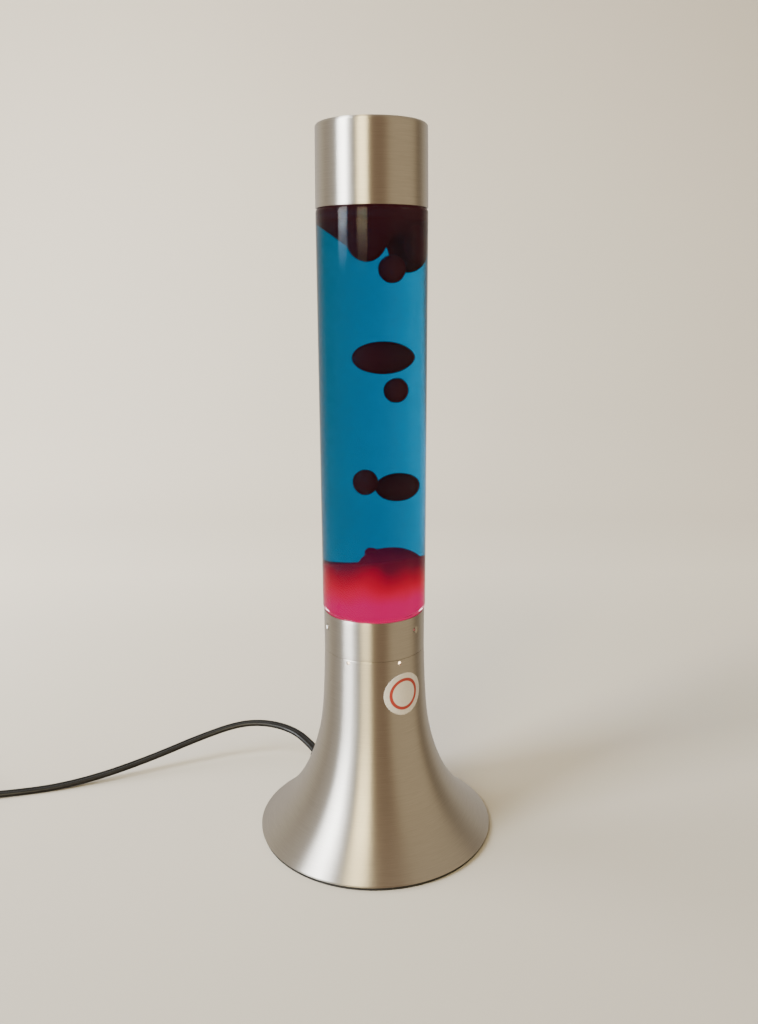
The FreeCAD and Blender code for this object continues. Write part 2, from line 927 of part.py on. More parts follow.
def bulb_cap():
    """Screw cap: a thin shell with rounded threads and a plain neck."""
    root = bulb_cap_root()
    low, thread_low = bulb_cap_z(), thread_z()
    top = thread_low + thread_turns * thread_pitch + cap_neck
    edges = thread_edges(cap_crest_radius, thread_depth, thread_low)
    lead_in = at(root - cap_lead_in, low)
    outside = lathe(at(0, low), lead_in, at(root, thread_low), *edges, at(root, top), at(0, top))
    return outside.cut(cylinder(root - cap_metal, low + cap_metal, top + 1))


def bulb_profile(inset):
    """The reflector bulb's outline, moved in by inset."""
    r, neck = bulb_radius - inset, bulb_neck_radius - inset
    crown_z = bulb_z() + bulb_length - bulb_crown_height
    belt_z = crown_z - bulb_belt_height
    seal = bulb_cap_root() - cap_metal - FILM_GAP - inset
    low = bulb_glass_z() + inset
    flare = Part.BSplineCurve()
    flare.interpolate(
        Points=[at(neck, low + 8), at((neck + r) / 2 + 1.0, low + 17.5), at(r, belt_z)],
        InitialTangent=V(0.1, 0, 1) * 12,
        FinalTangent=V(0.12, 0, 1) * 12,
    )
    crown = dome(r, bulb_crown_height - inset, crown_z, inward=True)
    return [at(0, low), at(seal, low), at(seal, low + 2), at(neck, low + 6), flare.toShape(), crown]


def bulb_envelope():
    return lathe(*bulb_profile(0)).cut(lathe(*bulb_profile(bulb_wall)))


def bulb_stem():
    """Glass stem that carries the filament's wires."""
    low = bulb_glass_z() + bulb_wall
    return joined(
        [
            Part.makeCone(stem_foot_radius, stem_radius, stem_taper, V(0, 0, low)),
            cylinder(stem_radius, low + stem_taper, low + stem_height),
            Part.makeSphere(stem_radius, V(0, 0, low + stem_height)),
        ]
    )


def filament_z():
    return bulb_z() + bulb_length - bulb_crown_height - filament_drop


def bulb_filament():
    """Two wires and the filament bowed between them."""
    foot_z, high, half = bulb_glass_z() + stem_height - 1, filament_z(), filament_half
    wires = []
    for side in (-1, 1):
        foot, elbow = V(side * stem_radius / 2, 0, foot_z), V(side * (half - 1), 0, high - 4)
        tip = V(side * half, 0, high)
        for a, b in ((foot, elbow), (elbow, tip)):
            wires.append(Part.makeCylinder(wire_radius, (b - a).Length, a, b - a))
        wires.append(Part.makeSphere(wire_radius, elbow))
    bow = Part.Wire([arc(V(-half, 0, high), V(0, -filament_bow, high + 1), V(half, 0, high))])
    along = bow.Edges[0].tangentAt(bow.Edges[0].FirstParameter)
    circle = Part.Wire([Part.Circle(V(-half, 0, high), along, filament_radius).toShape()])
    return joined(wires + [bow.makePipeShell([circle], True, False)])


# The bottle, its closure and the cap


def bottle_z():
    return seat_z() + seat_thickness


def shoulder_z():
    return cap_bottom + shoulder_drop


def mouth_z():
    return cap_bottom + mouth_height


def bottle_outside():
    r, low = bottle_radius, bottle_z()
    heel_z = collar_top + heel_lift
    foot, crn, sh = bottle_foot_radius, foot_round, shoulder_z()
    top, mouth = mouth_z(), mouth_radius
    neck_low = sh + shoulder_rise + 4.5
    lip_low = top - lip_height
    neck_foot = at(mouth + 4, sh + shoulder_rise)
    return [
        dome(punt_radius, punt_rise, low),
        at(foot - crn, low),
        corner_arc((foot - crn, low + crn), crn, -90, 0),
        at(foot, heel_z - heel_radius + 0.01),
        corner_arc((r - heel_radius, heel_z), heel_radius, -heel_turn, 0),
        at(r, sh - shoulder_round),
        corner_arc((r - shoulder_round, sh - shoulder_round), shoulder_round, 0, shoulder_turn),
        neck_foot,
        arc(neck_foot, at(mouth + 1.0, sh + shoulder_rise + 1.8), at(mouth, neck_low)),
        at(mouth, lip_low - lip_width),
        at(mouth + lip_width, lip_low),
        at(mouth + lip_width, top - 1),
        at(mouth + lip_width - 1, top),
        at(0, top),
    ]


def bottle_inside(gap, top=None):
    """The space in the bottle, smaller by gap all round, up to the mouth or a level."""
    r, low = bottle_radius - bottle_wall - gap, bottle_z() + floor_thickness + gap
    foot = bottle_foot_radius - foot_wall - gap
    heel_z = collar_top + heel_lift + gap
    sh = shoulder_z() - bottle_wall - gap
    bore = bore_radius - gap
    rise, crn = shoulder_rise, inner_shoulder_round
    shape = lathe(
        dome(punt_radius, punt_rise, low),
        at(foot - foot_round, low),
        corner_arc((foot - foot_round, low + foot_round), foot_round, -90, 0),
        at(foot, heel_z - heel_radius + 0.6),
        arc(at(foot, heel_z - heel_radius + 0.6), at(r - 0.9, heel_z - 1.0), at(r, heel_z + 1.2)),
        at(r, sh - crn),
        corner_arc((r - crn, sh - crn), crn, 0, shoulder_turn),
        at(bore + 5, sh + rise - 0.6),
        arc(at(bore + 5, sh + rise - 0.6), at(bore + 1.3, sh + rise + 1.6), at(bore, sh + rise + 5)),
        at(bore, mouth_z() + 1),
        at(0, mouth_z() + 1),
    )
    return shape if top is None else shape.common(cylinder(bottle_radius, 0, top))


def bottle_glass():
    return lathe(*bottle_outside()).cut(bottle_inside(0))


def crown_inner_radius():
    return mouth_radius + lip_width + RUNNING_GAP


def closure_liner():
    radius = crown_inner_radius() - crown_corner - FIT_GAP
    return cylinder(radius, mouth_z(), mouth_z() + liner_thickness)


def crown_top():
    return mouth_z() + liner_thickness + crown_thickness


def crown_closure():
    """Crimped metal crown with a fluted skirt."""
    t, top, corner = crown_thickness, crown_top(), crown_corner
    inner = crown_inner_radius()
    low, out = top - crown_skirt, inner + t + crown_flare
    crown = lathe(
        at(0, top), at(inner - corner + t, top), at(inner + t, top - corner), at(inner + t, top - 2.2),
        at(out, low), at(out - t, low), at(inner, top - 2.4), at(inner, top - t - corner),
        at(inner - corner, top - t), at(0, top - t),
    )
    flutes = []
    for k in range(crown_flutes):
        centre = direction(k * 360 / crown_flutes) * (out + 0.5)
        flutes.append(cylinder(1.0, low - 1, top - 2.6, (centre.x, centre.y)))
    return crown.cut(grouped(flutes))


def cap_shell():
    """Spun aluminium cup with a slight taper and a rounded top edge."""
    low, top, wall = cap_bottom, cap_top, cap_wall
    outer = lathe(
        at(0, low), at(cap_radius_bottom, low), at(cap_radius_top, top - cap_round),
        corner_arc((cap_radius_top - cap_round, top - cap_round), cap_round, 0, 90), at(0, top),
    )
    small = cap_round - wall
    inner = lathe(
        at(0, low - 1), at(cap_radius_bottom - wall, low - 1), at(cap_radius_bottom - wall, low),
        at(cap_radius_top - wall, top - cap_round),
        corner_arc((cap_radius_top - cap_round, top - cap_round), small, 0, 90), at(0, top - wall),
    )
    return outer.cut(inner)


def cap_insert():
    """Plastic plate in the cap, with a socket round the crown and a boss that rests on it."""
    high = cap_top - cap_wall
    low = high - insert_plate
    socket_inner = crown_inner_radius() + crown_thickness + crown_flare + socket_gap
    plate = cylinder(cap_radius_top - cap_round - 0.2, low, high)
    socket = tube(socket_inner + socket_wall, socket_inner, low - socket_depth, low)
    boss = cylinder(boss_radius, crown_top() + FIT_GAP, low)
    return joined([plate, socket, boss])


# Liquid and wax


def wax_mass(mass, level, grow=0.0):
    """A rounded mass of wax, whose place is measured from a level."""
    (x, y, z), radii = mass
    return ellipsoid((x, y, level + z), radii, grow)


def below_pool_top(grow):
    """Everything below the settled wax's surface, which stands higher on one side."""
    block = cylinder(2 * bottle_radius, -2 * bottle_radius, grow)
    block.rotate(ORIGIN, direction(pool_high_side + 90), -pool_tilt)
    block.translate(UP * (collar_top + pool_depth))
    return block


def wax_pool_body(grow):
    """The settled wax, with the mound that is about to leave it and a small bud on that."""
    pool = below_pool_top(grow)
    if grow == 0:
        pool = pool.common(bottle_inside(FILM_GAP))
    return joined([pool] + [wax_mass(mass, collar_top, grow) for mass in POOL_MASSES])


def wire_coil(grow=0.0):
    """Ring of coiled wire on the bottle's floor, as its outer form."""
    drop = dome_drop(punt_radius, punt_rise, coil_ring_radius)
    z = bottle_z() + floor_thickness + punt_rise - drop + coil_ring_thickness + RUNNING_GAP
    return Part.makeTorus(coil_ring_radius, coil_ring_thickness + grow, V(0, 0, z))


def wax_pool():
    return wax_pool_body(0).cut(wire_coil(FIT_GAP))


def wax_ceiling_body(grow):
    """Wax gathered under the shoulder: a sloping mass with three hanging lobes."""
    low = cap_bottom - ceiling_depth
    slab = cylinder(bottle_radius, low - grow, cap_bottom - ceiling_gap + grow)
    tip, root = cone_tip_radius + grow, cone_root_radius + grow
    cone = Part.makeCone(tip, root, cone_height, V(cone_shift, 0, low - cone_height))
    lobes = [wax_mass(lobe, cap_bottom, grow) for lobe in CEILING_LOBES]
    return joined([slab, cone] + lobes).common(bottle_inside(wall_film - grow))


def wax_ceiling():
    return wax_ceiling_body(0)


def blob_of_revolution(centre, outline, grow):
    """A drop that is round about the X axis; outline gives its half-height along X."""
    points = [V(x, 0, h + (grow if h else 0)) for x, h in outline]
    points[0] -= V(grow, 0, 0)
    points[-1] += V(grow, 0, 0)
    curve = Part.BSplineCurve()
    curve.interpolate(Points=points, InitialTangent=V(0, 0, 12), FinalTangent=V(0, 0, -12))
    face = Part.Face(Part.Wire([curve.toShape(), line(points[-1], points[0])]))
    drop = face.revolve(ORIGIN, V(1, 0, 0), 360)
    drop.translate(V(*centre))
    return drop


def wax_blob_lens(grow=0.0):
    x, y, z = LENS_PLACE
    return blob_of_revolution((x, y, cap_bottom + z), LENS_OUTLINE, grow)


def wax_blob_oval(grow=0.0):
    return wax_mass(OVAL_BLOB, collar_top, grow)


def wax_blob_top(grow=0.0):
    return wax_mass(TOP_BLOB, cap_bottom, grow)


def wax_blob_small(grow=0.0):
    return wax_mass(SMALL_BLOB, cap_bottom, grow)


def wax_blob_ball(grow=0.0):
    return wax_mass(BALL_BLOB, collar_top, grow)


def liquid():
    """The clear liquid round all the wax."""
    blobs = (wax_blob_lens, wax_blob_oval, wax_blob_top, wax_blob_small, wax_blob_ball)
    shape = bottle_inside(FILM_GAP, cap_bottom + liquid_rise)
    for wax in (wax_pool_body, wax_ceiling_body) + blobs:
        shape = shape.cut(wax(FILM_GAP))
    return shape


# Coil, ties, switch and plug of the cord


def coil_ring(grow):
    """The coil's outer form as a ring with rounded edges, larger by grow."""
    thickest = cord_thickness / 2 + 0.2
    inner = coil_turn_radius - (coil_turns_wide - 1) * coil_turn_pitch - thickest - grow
    outer = coil_turn_radius + thickest + grow
    low = tie_thickness - grow
    high = tie_thickness + coil_layers * (cord_width + 0.2) + 0.2 + grow
    ring = tube(outer, inner, low, high)
    if grow == 0:
        ring = ring.makeFillet(1.2, [e for e in ring.Edges if e.Closed and e.BoundBox.ZLength < 0.01])
    ring.translate(V(*coil_centre, 0))
    return ring


def cord_coil():
    return coil_ring(0)


def cord_ties():
    """Two hook-and-loop straps round the coil."""
    straps = []
    for azimuth in tie_azimuths:
        slab = box((10, -tie_width / 2, -5), (60, tie_width / 2, 30))
        slab.rotate(ORIGIN, UP, azimuth)
        slab.translate(V(*coil_centre, 0))
        straps.append(coil_ring(tie_thickness).common(slab).cut(coil_ring(FIT_GAP).fuse(coil_ring(0))))
    return grouped(straps)


def along_cord(shape, start, end):
    """A shape made along +X from the origin, placed on the cord from start towards end."""
    placed = shape.copy()
    heading = math.degrees(math.atan2(end[1] - start[1], end[0] - start[0]))
    placed.rotate(ORIGIN, UP, heading)
    placed.translate(V(start[0], start[1], 0))
    return placed


def switch_placed(shape):
    """The switch lies between the ends of the two stretches of cord, square to its own axis."""
    inlet, outlet = V(*ROUTE_TO_SWITCH[-2]), V(*ROUTE_TO_COIL[1])
    middle = (inlet + outlet) * 0.5
    start = middle - (outlet - inlet).normalize() * (switch_length / 2)
    return along_cord(shape, start, outlet)


def rounded_block(length, width, low, high, corner):
    block = box((0, -width / 2, low), (length, width / 2, high))
    upright = [e for e in block.Edges if e.BoundBox.ZLength > high - low - 0.01]
    return block.makeFillet(corner, upright)


def switch_hollow():
    w = switch_wall
    hollow = rounded_block(
        switch_length - 2 * w, switch_width - 2 * w, w, switch_height - w, switch_corner - w
    )
    hollow.translate(V(w, 0, 0))
    return hollow


def switch_screw_places():
    inset, side = switch_screw_inset, switch_width / 2 - switch_screw_side
    return ((inset, side), (switch_length - inset, -side))


def switch_base():
    """Lower half of the switch's case."""
    case = rounded_block(switch_length, switch_width, 0, switch_split - FIT_GAP, switch_corner)
    low_edges = [e for e in case.Edges if e.BoundBox.ZMax < 0.01]
    case = case.makeFillet(switch_edge / 2, low_edges).cut(switch_hollow())
    places, top = switch_screw_places(), switch_split - FIT_GAP
    pillars = [cylinder(switch_pillar_radius, switch_wall / 2, top, p) for p in places]
    holes = []
    for place in places:
        holes.append(cylinder(switch_screw_radius + RUNNING_GAP, -1, switch_split + 1, place))
        holes.append(cylinder(switch_head_radius + RUNNING_GAP, -1, switch_head_floor, place))
    return joined([case] + pillars).cut(grouped(holes))


def rocker_window():
    g = rocker_gap
    half_long, half_wide, middle = rocker_length / 2 + g, rocker_width / 2 + g, switch_length / 2
    return box((middle - half_long, -half_wide, switch_height - 6), (middle + half_long, half_wide, 30))


def switch_cover():
    """Upper half of the case, with the rocker's window, its pin lugs and screw pillars."""
    case = rounded_block(switch_length, switch_width, switch_split, switch_height, switch_corner)
    top_edges = [e for e in case.Edges if e.BoundBox.ZMin > switch_height - 0.01]
    case = case.makeFillet(switch_edge, top_edges).cut(switch_hollow())
    middle = switch_length / 2
    inner = rocker_width / 2 + rocker_gap
    lugs = [
        box((middle - 2.6, a, rocker_axis_z - 2.4), (middle + 2.6, b, switch_height - switch_wall / 2))
        for a, b in ((-lug_reach(), -inner), (inner, lug_reach()))
    ]
    places, top = switch_screw_places(), switch_height - switch_wall / 2
    pillars = [cylinder(switch_pillar_radius, switch_split, top, p) for p in places]
    pin_way = rocker_axle(rocker_pin_radius + FIT_GAP, lug_reach() + FIT_GAP)
    thread = switch_screw_radius + FIT_GAP
    holes = [cylinder(thread, switch_split - 1, switch_split + 5, p) for p in places]
    cover = joined([case] + lugs + pillars).cut(rocker_window())
    return cover.cut(grouped(holes + [pin_way]))


def rocker_axle(radius, reach):
    """A round bar along the rocker's axis, reaching as far to each side."""
    return Part.makeCylinder(radius, 2 * reach, V(switch_length / 2, -reach, rocker_axis_z), V(0, 1, 0))


def lug_reach():
    """How far from the switch's middle its pin lugs reach."""
    return rocker_width / 2 + rocker_gap + rocker_lug


def rocker_pin():
    return rocker_axle(rocker_pin_radius, lug_reach())


def tilted_rocker(shape):
    """The rocker is stored pressed down at the end nearest the lamp: switched on."""
    shape.rotate(V(switch_length / 2, 0, rocker_axis_z), V(0, 1, 0), -rocker_tilt)
    return shape


def switch_rocker():
    """The rocker with its shallow vee-shaped top, bored for its pin."""
    middle, half, high = switch_length / 2, rocker_length / 2 - 0.4, switch_height + rocker_rise
    top_low = high - 1.0
    outline = [
        V(middle - half, 0, top_low - 4.0), V(middle - half + 0.6, 0, top_low),
        V(middle - half + 1.6, 0, high), V(middle, 0, top_low),
        V(middle + half - 1.6, 0, high), V(middle + half - 0.6, 0, top_low),
        V(middle + half, 0, top_low - 4.0), V(middle + 4.0, 0, rocker_axis_z - 1.8),
        V(middle - 4.0, 0, rocker_axis_z - 1.8),
    ]
    body = Part.Face(profile(*outline)).extrude(V(0, rocker_width, 0))
    body.translate(V(0, -rocker_width / 2, 0))
    return tilted_rocker(body.cut(rocker_axle(rocker_pin_radius + FIT_GAP, rocker_width)))


def rocker_bridge():
    """Copper bridge under the rocker that joins the two contacts."""
    middle, top = switch_length / 2, rocker_axis_z - 1.8
    bridge = box((middle - 4.0, -1.8, top - 0.5), (middle + 4.0, 1.8, top))
    return tilted_rocker(bridge)


def switch_terminals():
    """Two fixed contacts on the case's floor, with a block each for the wire's end."""
    parts = []
    middle = switch_length / 2
    for side in (-1, 1):
        x = middle + side * 6.5
        block = box((x - 2.5, -4, switch_wall), (x + 2.5, 4, switch_split - 1.9))
        screw = cylinder(1.4, switch_split - 2.5, switch_split - 0.6, (x, 2.4))
        parts.append(joined([block, screw]))
    return grouped(parts)


def switch_screws():
    parts = []
    for place in switch_screw_places():
        head = cylinder(switch_head_radius, 0.5, switch_head_floor, place)
        shank = cylinder(switch_screw_radius, switch_head_floor - 0.5, switch_split + 4.5, place)
        parts.append(joined([head, shank]))
    return grouped(parts)


def plug_placed(shape):
    """The plug lies at the end of the cord, in line with its last run."""
    start, end = ROUTE_TO_PLUG[-2], ROUTE_TO_PLUG[-1]
    placed = shape.copy()
    placed.translate(V(math.dist(start[:2], end[:2]) - plug_grip, 0, 0))
    return along_cord(placed, start, end)


def plug_body():
    """Moulded plug with a ribbed, tapered boot."""
    z = ROUTE_TO_PLUG[-1][2]
    body = rounded_block(plug_length, plug_width, z - plug_height / 2, z + plug_height / 2, 4.0)
    rims = [e for e in body.Edges if e.BoundBox.ZLength < 0.01]
    body = body.makeFillet(2.0, rims)
    body.translate(V(plug_boot_length - 1, 0, 0))
    half_wide, half_high = plug_boot_width / 2, plug_boot_height / 2
    boot = box((0, -half_wide, z - half_high), (plug_boot_length, half_wide, z + half_high))
    boot = boot.makeFillet(2.4, [e for e in boot.Edges if e.BoundBox.XLength > plug_boot_length - 0.01])
    grooves = []
    for k in range(plug_boot_grooves):
        start, reach = groove_first + k * groove_spacing, half_high - groove_depth
        for low, high in ((z - half_high - 1, z - reach), (z + reach, z + half_high + 1)):
            grooves.append(box((start, -half_wide - 1, low), (start + groove_width, half_wide + 1, high)))
    pockets = [blade(side, FIT_GAP) for side in (-1, 1)]
    return joined([body, boot.cut(grouped(grooves))]).cut(grouped(pockets))


def blade(side, grow=0.0):
    """One flat blade, sunk into the plug's face."""
    z = ROUTE_TO_PLUG[-1][2]
    start = plug_boot_length - 1 + plug_length - 8
    y = side * blade_spacing / 2
    flat, tall = blade_thickness / 2 + grow, blade_width / 2 + grow
    return box((start - grow, y - flat, z - tall), (start + 8 + blade_length, y + flat, z + tall))


def plug_blades():
    return grouped([blade(side) for side in (-1, 1)])


def cord_lengths(grow=0.0):
    """The three stretches of cord that aren't coiled, or the ways that they need through other pieces."""
    return [
        flat_cord(ROUTE_TO_SWITCH, "cord to switch", grow),
        flat_cord(ROUTE_TO_COIL[::-1], "cord to coil", grow),
        flat_cord(ROUTE_TO_PLUG, "cord to plug", grow),
    ]


def nodes():
    """Every node's name with its shape."""
    lamp_side, coil_side, tail = cord_lengths()
    lamp_way, coil_way, tail_way = cord_lengths(cord_gap)
    in_switch = {
        "switch_base": switch_base, "switch_cover": switch_cover, "rocker_pin": rocker_pin,
        "switch_terminals": switch_terminals, "switch_screws": switch_screws,
        "switch_rocker": switch_rocker, "rocker_bridge": rocker_bridge,
    }
    made = {
        "base_shell": base_shell(), "collar": collar(), "seat_ring": seat_ring(), "foot_ring": foot_ring(),
        "bottom_cover": bottom_cover().cut(lamp_way), "cover_screws": cover_screws(),
        "holder_bracket": holder_bracket(),
        "holder_nipple": holder_nipple(), "nipple_nut": nipple_nut(), "lampholder_base": lampholder_base(),
        "lampholder_core": lampholder_core(), "lampholder_skirt": lampholder_skirt(),
        "lampholder_sleeve": lampholder_sleeve(), "centre_contact": centre_contact(),
        "holder_terminals": holder_terminals(), "lead_live": lead(1, "live lead"),
        "lead_neutral": lead(-1, "neutral lead"), "cord_clamp": cord_clamp().cut(lamp_way),
        "clamp_screws": clamp_screws(), "cord_gland": cord_gland().cut(lamp_way), "label_disc": label_disc(),
        "cord_lamp_side": lamp_side, "cord_coil_side": coil_side, "cord_tail": tail,
        "cord_coil": cord_coil(), "cord_ties": cord_ties(),
        "plug_body": plug_placed(plug_body()).cut(tail_way), "plug_blades": plug_placed(plug_blades()),
        "bottle_glass": bottle_glass(), "closure_liner": closure_liner(), "crown_closure": crown_closure(),
        "liquid": liquid(), "wax_pool": wax_pool(), "wax_ceiling": wax_ceiling(), "wire_coil": wire_coil(),
        "wax_blob_top": wax_blob_top(), "wax_blob_lens": wax_blob_lens(), "wax_blob_small": wax_blob_small(),
        "wax_blob_ball": wax_blob_ball(), "wax_blob_oval": wax_blob_oval(),
        "cap_shell": cap_shell(), "cap_insert": cap_insert(),
        "bulb_contact": bulb_contact(), "bulb_cap": bulb_cap(), "bulb_insulator": bulb_insulator(),
        "bulb_envelope": bulb_envelope(), "bulb_stem": bulb_stem(), "bulb_filament": bulb_filament(),
    }
    for name, make in in_switch.items():
        made[name] = switch_placed(make())
    for name in ("switch_base", "switch_cover"):
        made[name] = made[name].cut(lamp_way).cut(coil_way)
    return made


def main():
    os.makedirs("parts", exist_ok=True)
    for name, shape in nodes().items():
        print(name, "solids", len(shape.Solids), "valid", shape.isValid(), "volume", round(shape.Volume, 1))
        shape.exportStep(f"parts/{name}.step")


main()
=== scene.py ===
import json
import math

import bmesh
import bpy
import numpy as np
from bpy.props import FloatProperty, FloatVectorProperty, IntProperty, PointerProperty
from mathutils import Matrix, Vector


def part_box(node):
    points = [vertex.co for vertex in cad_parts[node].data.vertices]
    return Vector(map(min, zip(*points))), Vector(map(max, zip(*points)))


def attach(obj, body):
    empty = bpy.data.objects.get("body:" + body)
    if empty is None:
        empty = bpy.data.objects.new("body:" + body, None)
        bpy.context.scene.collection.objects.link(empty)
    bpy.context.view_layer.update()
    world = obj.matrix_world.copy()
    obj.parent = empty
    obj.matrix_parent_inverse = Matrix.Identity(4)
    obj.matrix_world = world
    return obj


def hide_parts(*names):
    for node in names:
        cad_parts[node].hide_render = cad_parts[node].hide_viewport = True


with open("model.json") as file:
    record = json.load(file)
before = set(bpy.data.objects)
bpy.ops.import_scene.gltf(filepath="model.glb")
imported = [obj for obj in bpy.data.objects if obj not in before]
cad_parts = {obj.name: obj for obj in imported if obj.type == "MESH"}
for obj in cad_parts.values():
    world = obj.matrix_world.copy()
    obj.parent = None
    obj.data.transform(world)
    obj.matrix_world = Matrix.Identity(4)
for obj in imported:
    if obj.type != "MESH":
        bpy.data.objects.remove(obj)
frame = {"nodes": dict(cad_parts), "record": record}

# Looks of a liquid motion lamp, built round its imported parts. Metres, +Z up, the front faces -Y.

bl_info = {
    "name": "Liquid motion lamp",
    "version": (1, 0, 0),
    "blender": (4, 5, 0),
    "location": "3D View > Sidebar > Lamp",
    "description": "Dresses the packed liquid motion lamp in its finishes, cord, liquid and wax",
    "category": "Object",
}

MM = 0.001
# Edges that turn by more than SHARP degrees stay sharp. Wholly smooth pieces have SMOOTH in its place.
SHARP, SMOOTH = 35.0, 180.0
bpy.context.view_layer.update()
NODES = frame["nodes"]


def low(node):
    """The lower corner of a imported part's box."""
    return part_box(node)[0]


def high(node):
    """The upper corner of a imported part's box."""
    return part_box(node)[1]


# Levels and radii of the stack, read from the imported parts
RIM_RADIUS = high("base_shell").x
COLLAR_RADIUS = high("collar").x
STEP_Z = low("collar").z
COLLAR_TOP = high("collar").z
BOTTLE_RADIUS = high("bottle_glass").x
BOTTLE_Z = low("bottle_glass").z
MOUTH_Z = high("bottle_glass").z
CAP_Z = low("cap_shell").z
CAP_TOP = high("cap_shell").z


class LampMetal(bpy.types.PropertyGroup):
    """Finish of the spun aluminium."""

    tint: FloatVectorProperty(
        name="Tint", description="Colour of the bare aluminium", subtype="COLOR", default=(0.56, 0.53, 0.48)
    )
    roughness: FloatProperty(
        name="Roughness", description="Roughness of the brushed surface", default=0.38, min=0, max=1
    )
    stretch: FloatProperty(
        name="Stretch", description="How far highlights stretch across the turned lines", default=1.0, max=1
    )
    lines: FloatProperty(
        name="Lines", description="Depth of the turned lines", default=0.01 * MM, unit="LENGTH"
    )


class LampLiquid(bpy.types.PropertyGroup):
    """The dyed liquid."""

    tint: FloatVectorProperty(
        name="Tint", description="Colour that even a thin layer gives", subtype="COLOR",
        default=(0.03, 0.27, 0.42)
    )
    passes: FloatVectorProperty(
        name="Passes", description="Colour that a deep layer lets through", subtype="COLOR",
        default=(0.0, 0.73, 0.90)
    )
    density: FloatProperty(
        name="Density", description="How strongly the dye absorbs, per metre", default=60.0
    )
    level: FloatProperty(
        name="Level", description="Height of the liquid's surface", default=high("liquid").z, unit="LENGTH"
    )


class LampWax(bpy.types.PropertyGroup):
    """The wax, cold and lit."""

    colour: FloatVectorProperty(
        name="Colour", description="Colour of the wax by daylight", subtype="COLOR",
        default=(0.012, 0.003, 0.004)
    )
    # Painted glow: the wax is no lamp, and this emission stands in for the light that reaches it through the
    # liquid
    painted_glow: FloatVectorProperty(
        name="Ember", description="Faint inner light of the wax near the glass", subtype="COLOR",
        default=(0.160, 0.010, 0.011)
    )
    # Painted glow of the pool: the bulb's light through the wax, given as emission
    glow: FloatVectorProperty(
        name="Glow", description="Colour of the lit pool over the bulb", subtype="COLOR",
        default=(4.2, 0.001, 0.185)
    )
    strength: FloatProperty(name="Strength", description="Brightness of the lit pool", default=1.0)
    voxel: FloatProperty(
        name="Voxel", description="Cell size in which flowing shapes are merged", default=0.6 * MM,
        unit="LENGTH"
    )


class LampCord(bpy.types.PropertyGroup):
    """The flat twin cord."""

    width: FloatProperty(name="Width", description="Width across both wires", default=6.0 * MM, unit="LENGTH")
    thickness: FloatProperty(
        name="Thickness", description="Thickness of one sheathed wire", default=3.2 * MM, unit="LENGTH"
    )
    turns: FloatProperty(name="Turns", description="Turns wound in the coil", default=6.43)
    turn_points: IntProperty(name="Turn points", description="Control points in each turn", default=14)
    turn_radius: FloatProperty(
        name="Turn radius", description="Radius of the outermost turn", default=38.2 * MM, unit="LENGTH"
    )
    turn_pitch: FloatProperty(
        name="Turn pitch", description="Distance between turns side by side", default=3.35 * MM, unit="LENGTH"
    )


class LampStage(bpy.types.PropertyGroup):
    """Paper sweep and lights."""

    paper: FloatVectorProperty(
        name="Paper", description="Colour of the paper sweep", subtype="COLOR", default=(0.69, 0.648, 0.566)
    )
    window: FloatProperty(
        name="Window", description="Power of the tall window light", default=85.0, unit="POWER"
    )
    warm: FloatProperty(name="Warm light", description="Power of the warm light", default=42.0, unit="POWER")
    side: FloatProperty(
        name="Side light", description="Power of the broad side light", default=24.0, unit="POWER"
    )
    room: FloatProperty(name="Room", description="Strength of the dim room all round", default=1.0)


def settings(name):
    """The user's values of one group."""
    return getattr(bpy.context.scene, name)


# Meshes


def put(name, data):
    """A new object in the scene, at the origin."""
    thing = bpy.data.objects.new(name, data)
    bpy.context.scene.collection.objects.link(thing)
    return thing


def new_piece(name, bm, sharp=SHARP):
    """An object from a bmesh, smooth but for edges sharper than so many degrees."""
    mesh = bpy.data.meshes.new(name)
    bm.to_mesh(mesh)
    bm.free()
    for face in mesh.polygons:
        face.use_smooth = True
    mesh.set_sharp_from_angle(angle=math.radians(sharp))
    return put(name, mesh)


def eased(t):
    """A share that starts and ends gently, held between 0 and 1."""
    t = min(max(t, 0.0), 1.0)
    return t * t * (3 - 2 * t)


def arc(centre, radius, start, end, count):
    """Points of an arc in the profile's plane, between two angles from the outward direction."""
    turns = [math.radians(start + (end - start) * k / count) for k in range(count + 1)]
    return [(centre[0] + radius * math.cos(a), centre[1] + radius * math.sin(a)) for a in turns]


def spun(name, outline, segments=224, sharp=SHARP):
    """A solid turned about the lamp's axis from a closed outline of radius and height."""
    bm = bmesh.new()
    rings = []
    for radius, z in outline:
        if radius < 1e-7:
            rings.append([bm.verts.new((0, 0, z))])
            continue
        turns = [2 * math.pi * k / segments for k in range(segments)]
        rings.append([bm.verts.new((radius * math.cos(a), radius * math.sin(a), z)) for a in turns])
    for here, there in zip(rings, rings[1:] + rings[:1]):
        if len(here) == 1 and len(there) == 1:
            continue
        for k in range(segments):
            n = (k + 1) % segments
            corners = [here[k % len(here)], here[n % len(here)], there[n % len(there)], there[k % len(there)]]
            bm.faces.new(list(dict.fromkeys(corners)))
    bmesh.ops.recalc_face_normals(bm, faces=bm.faces)
    return new_piece(name, bm, sharp)


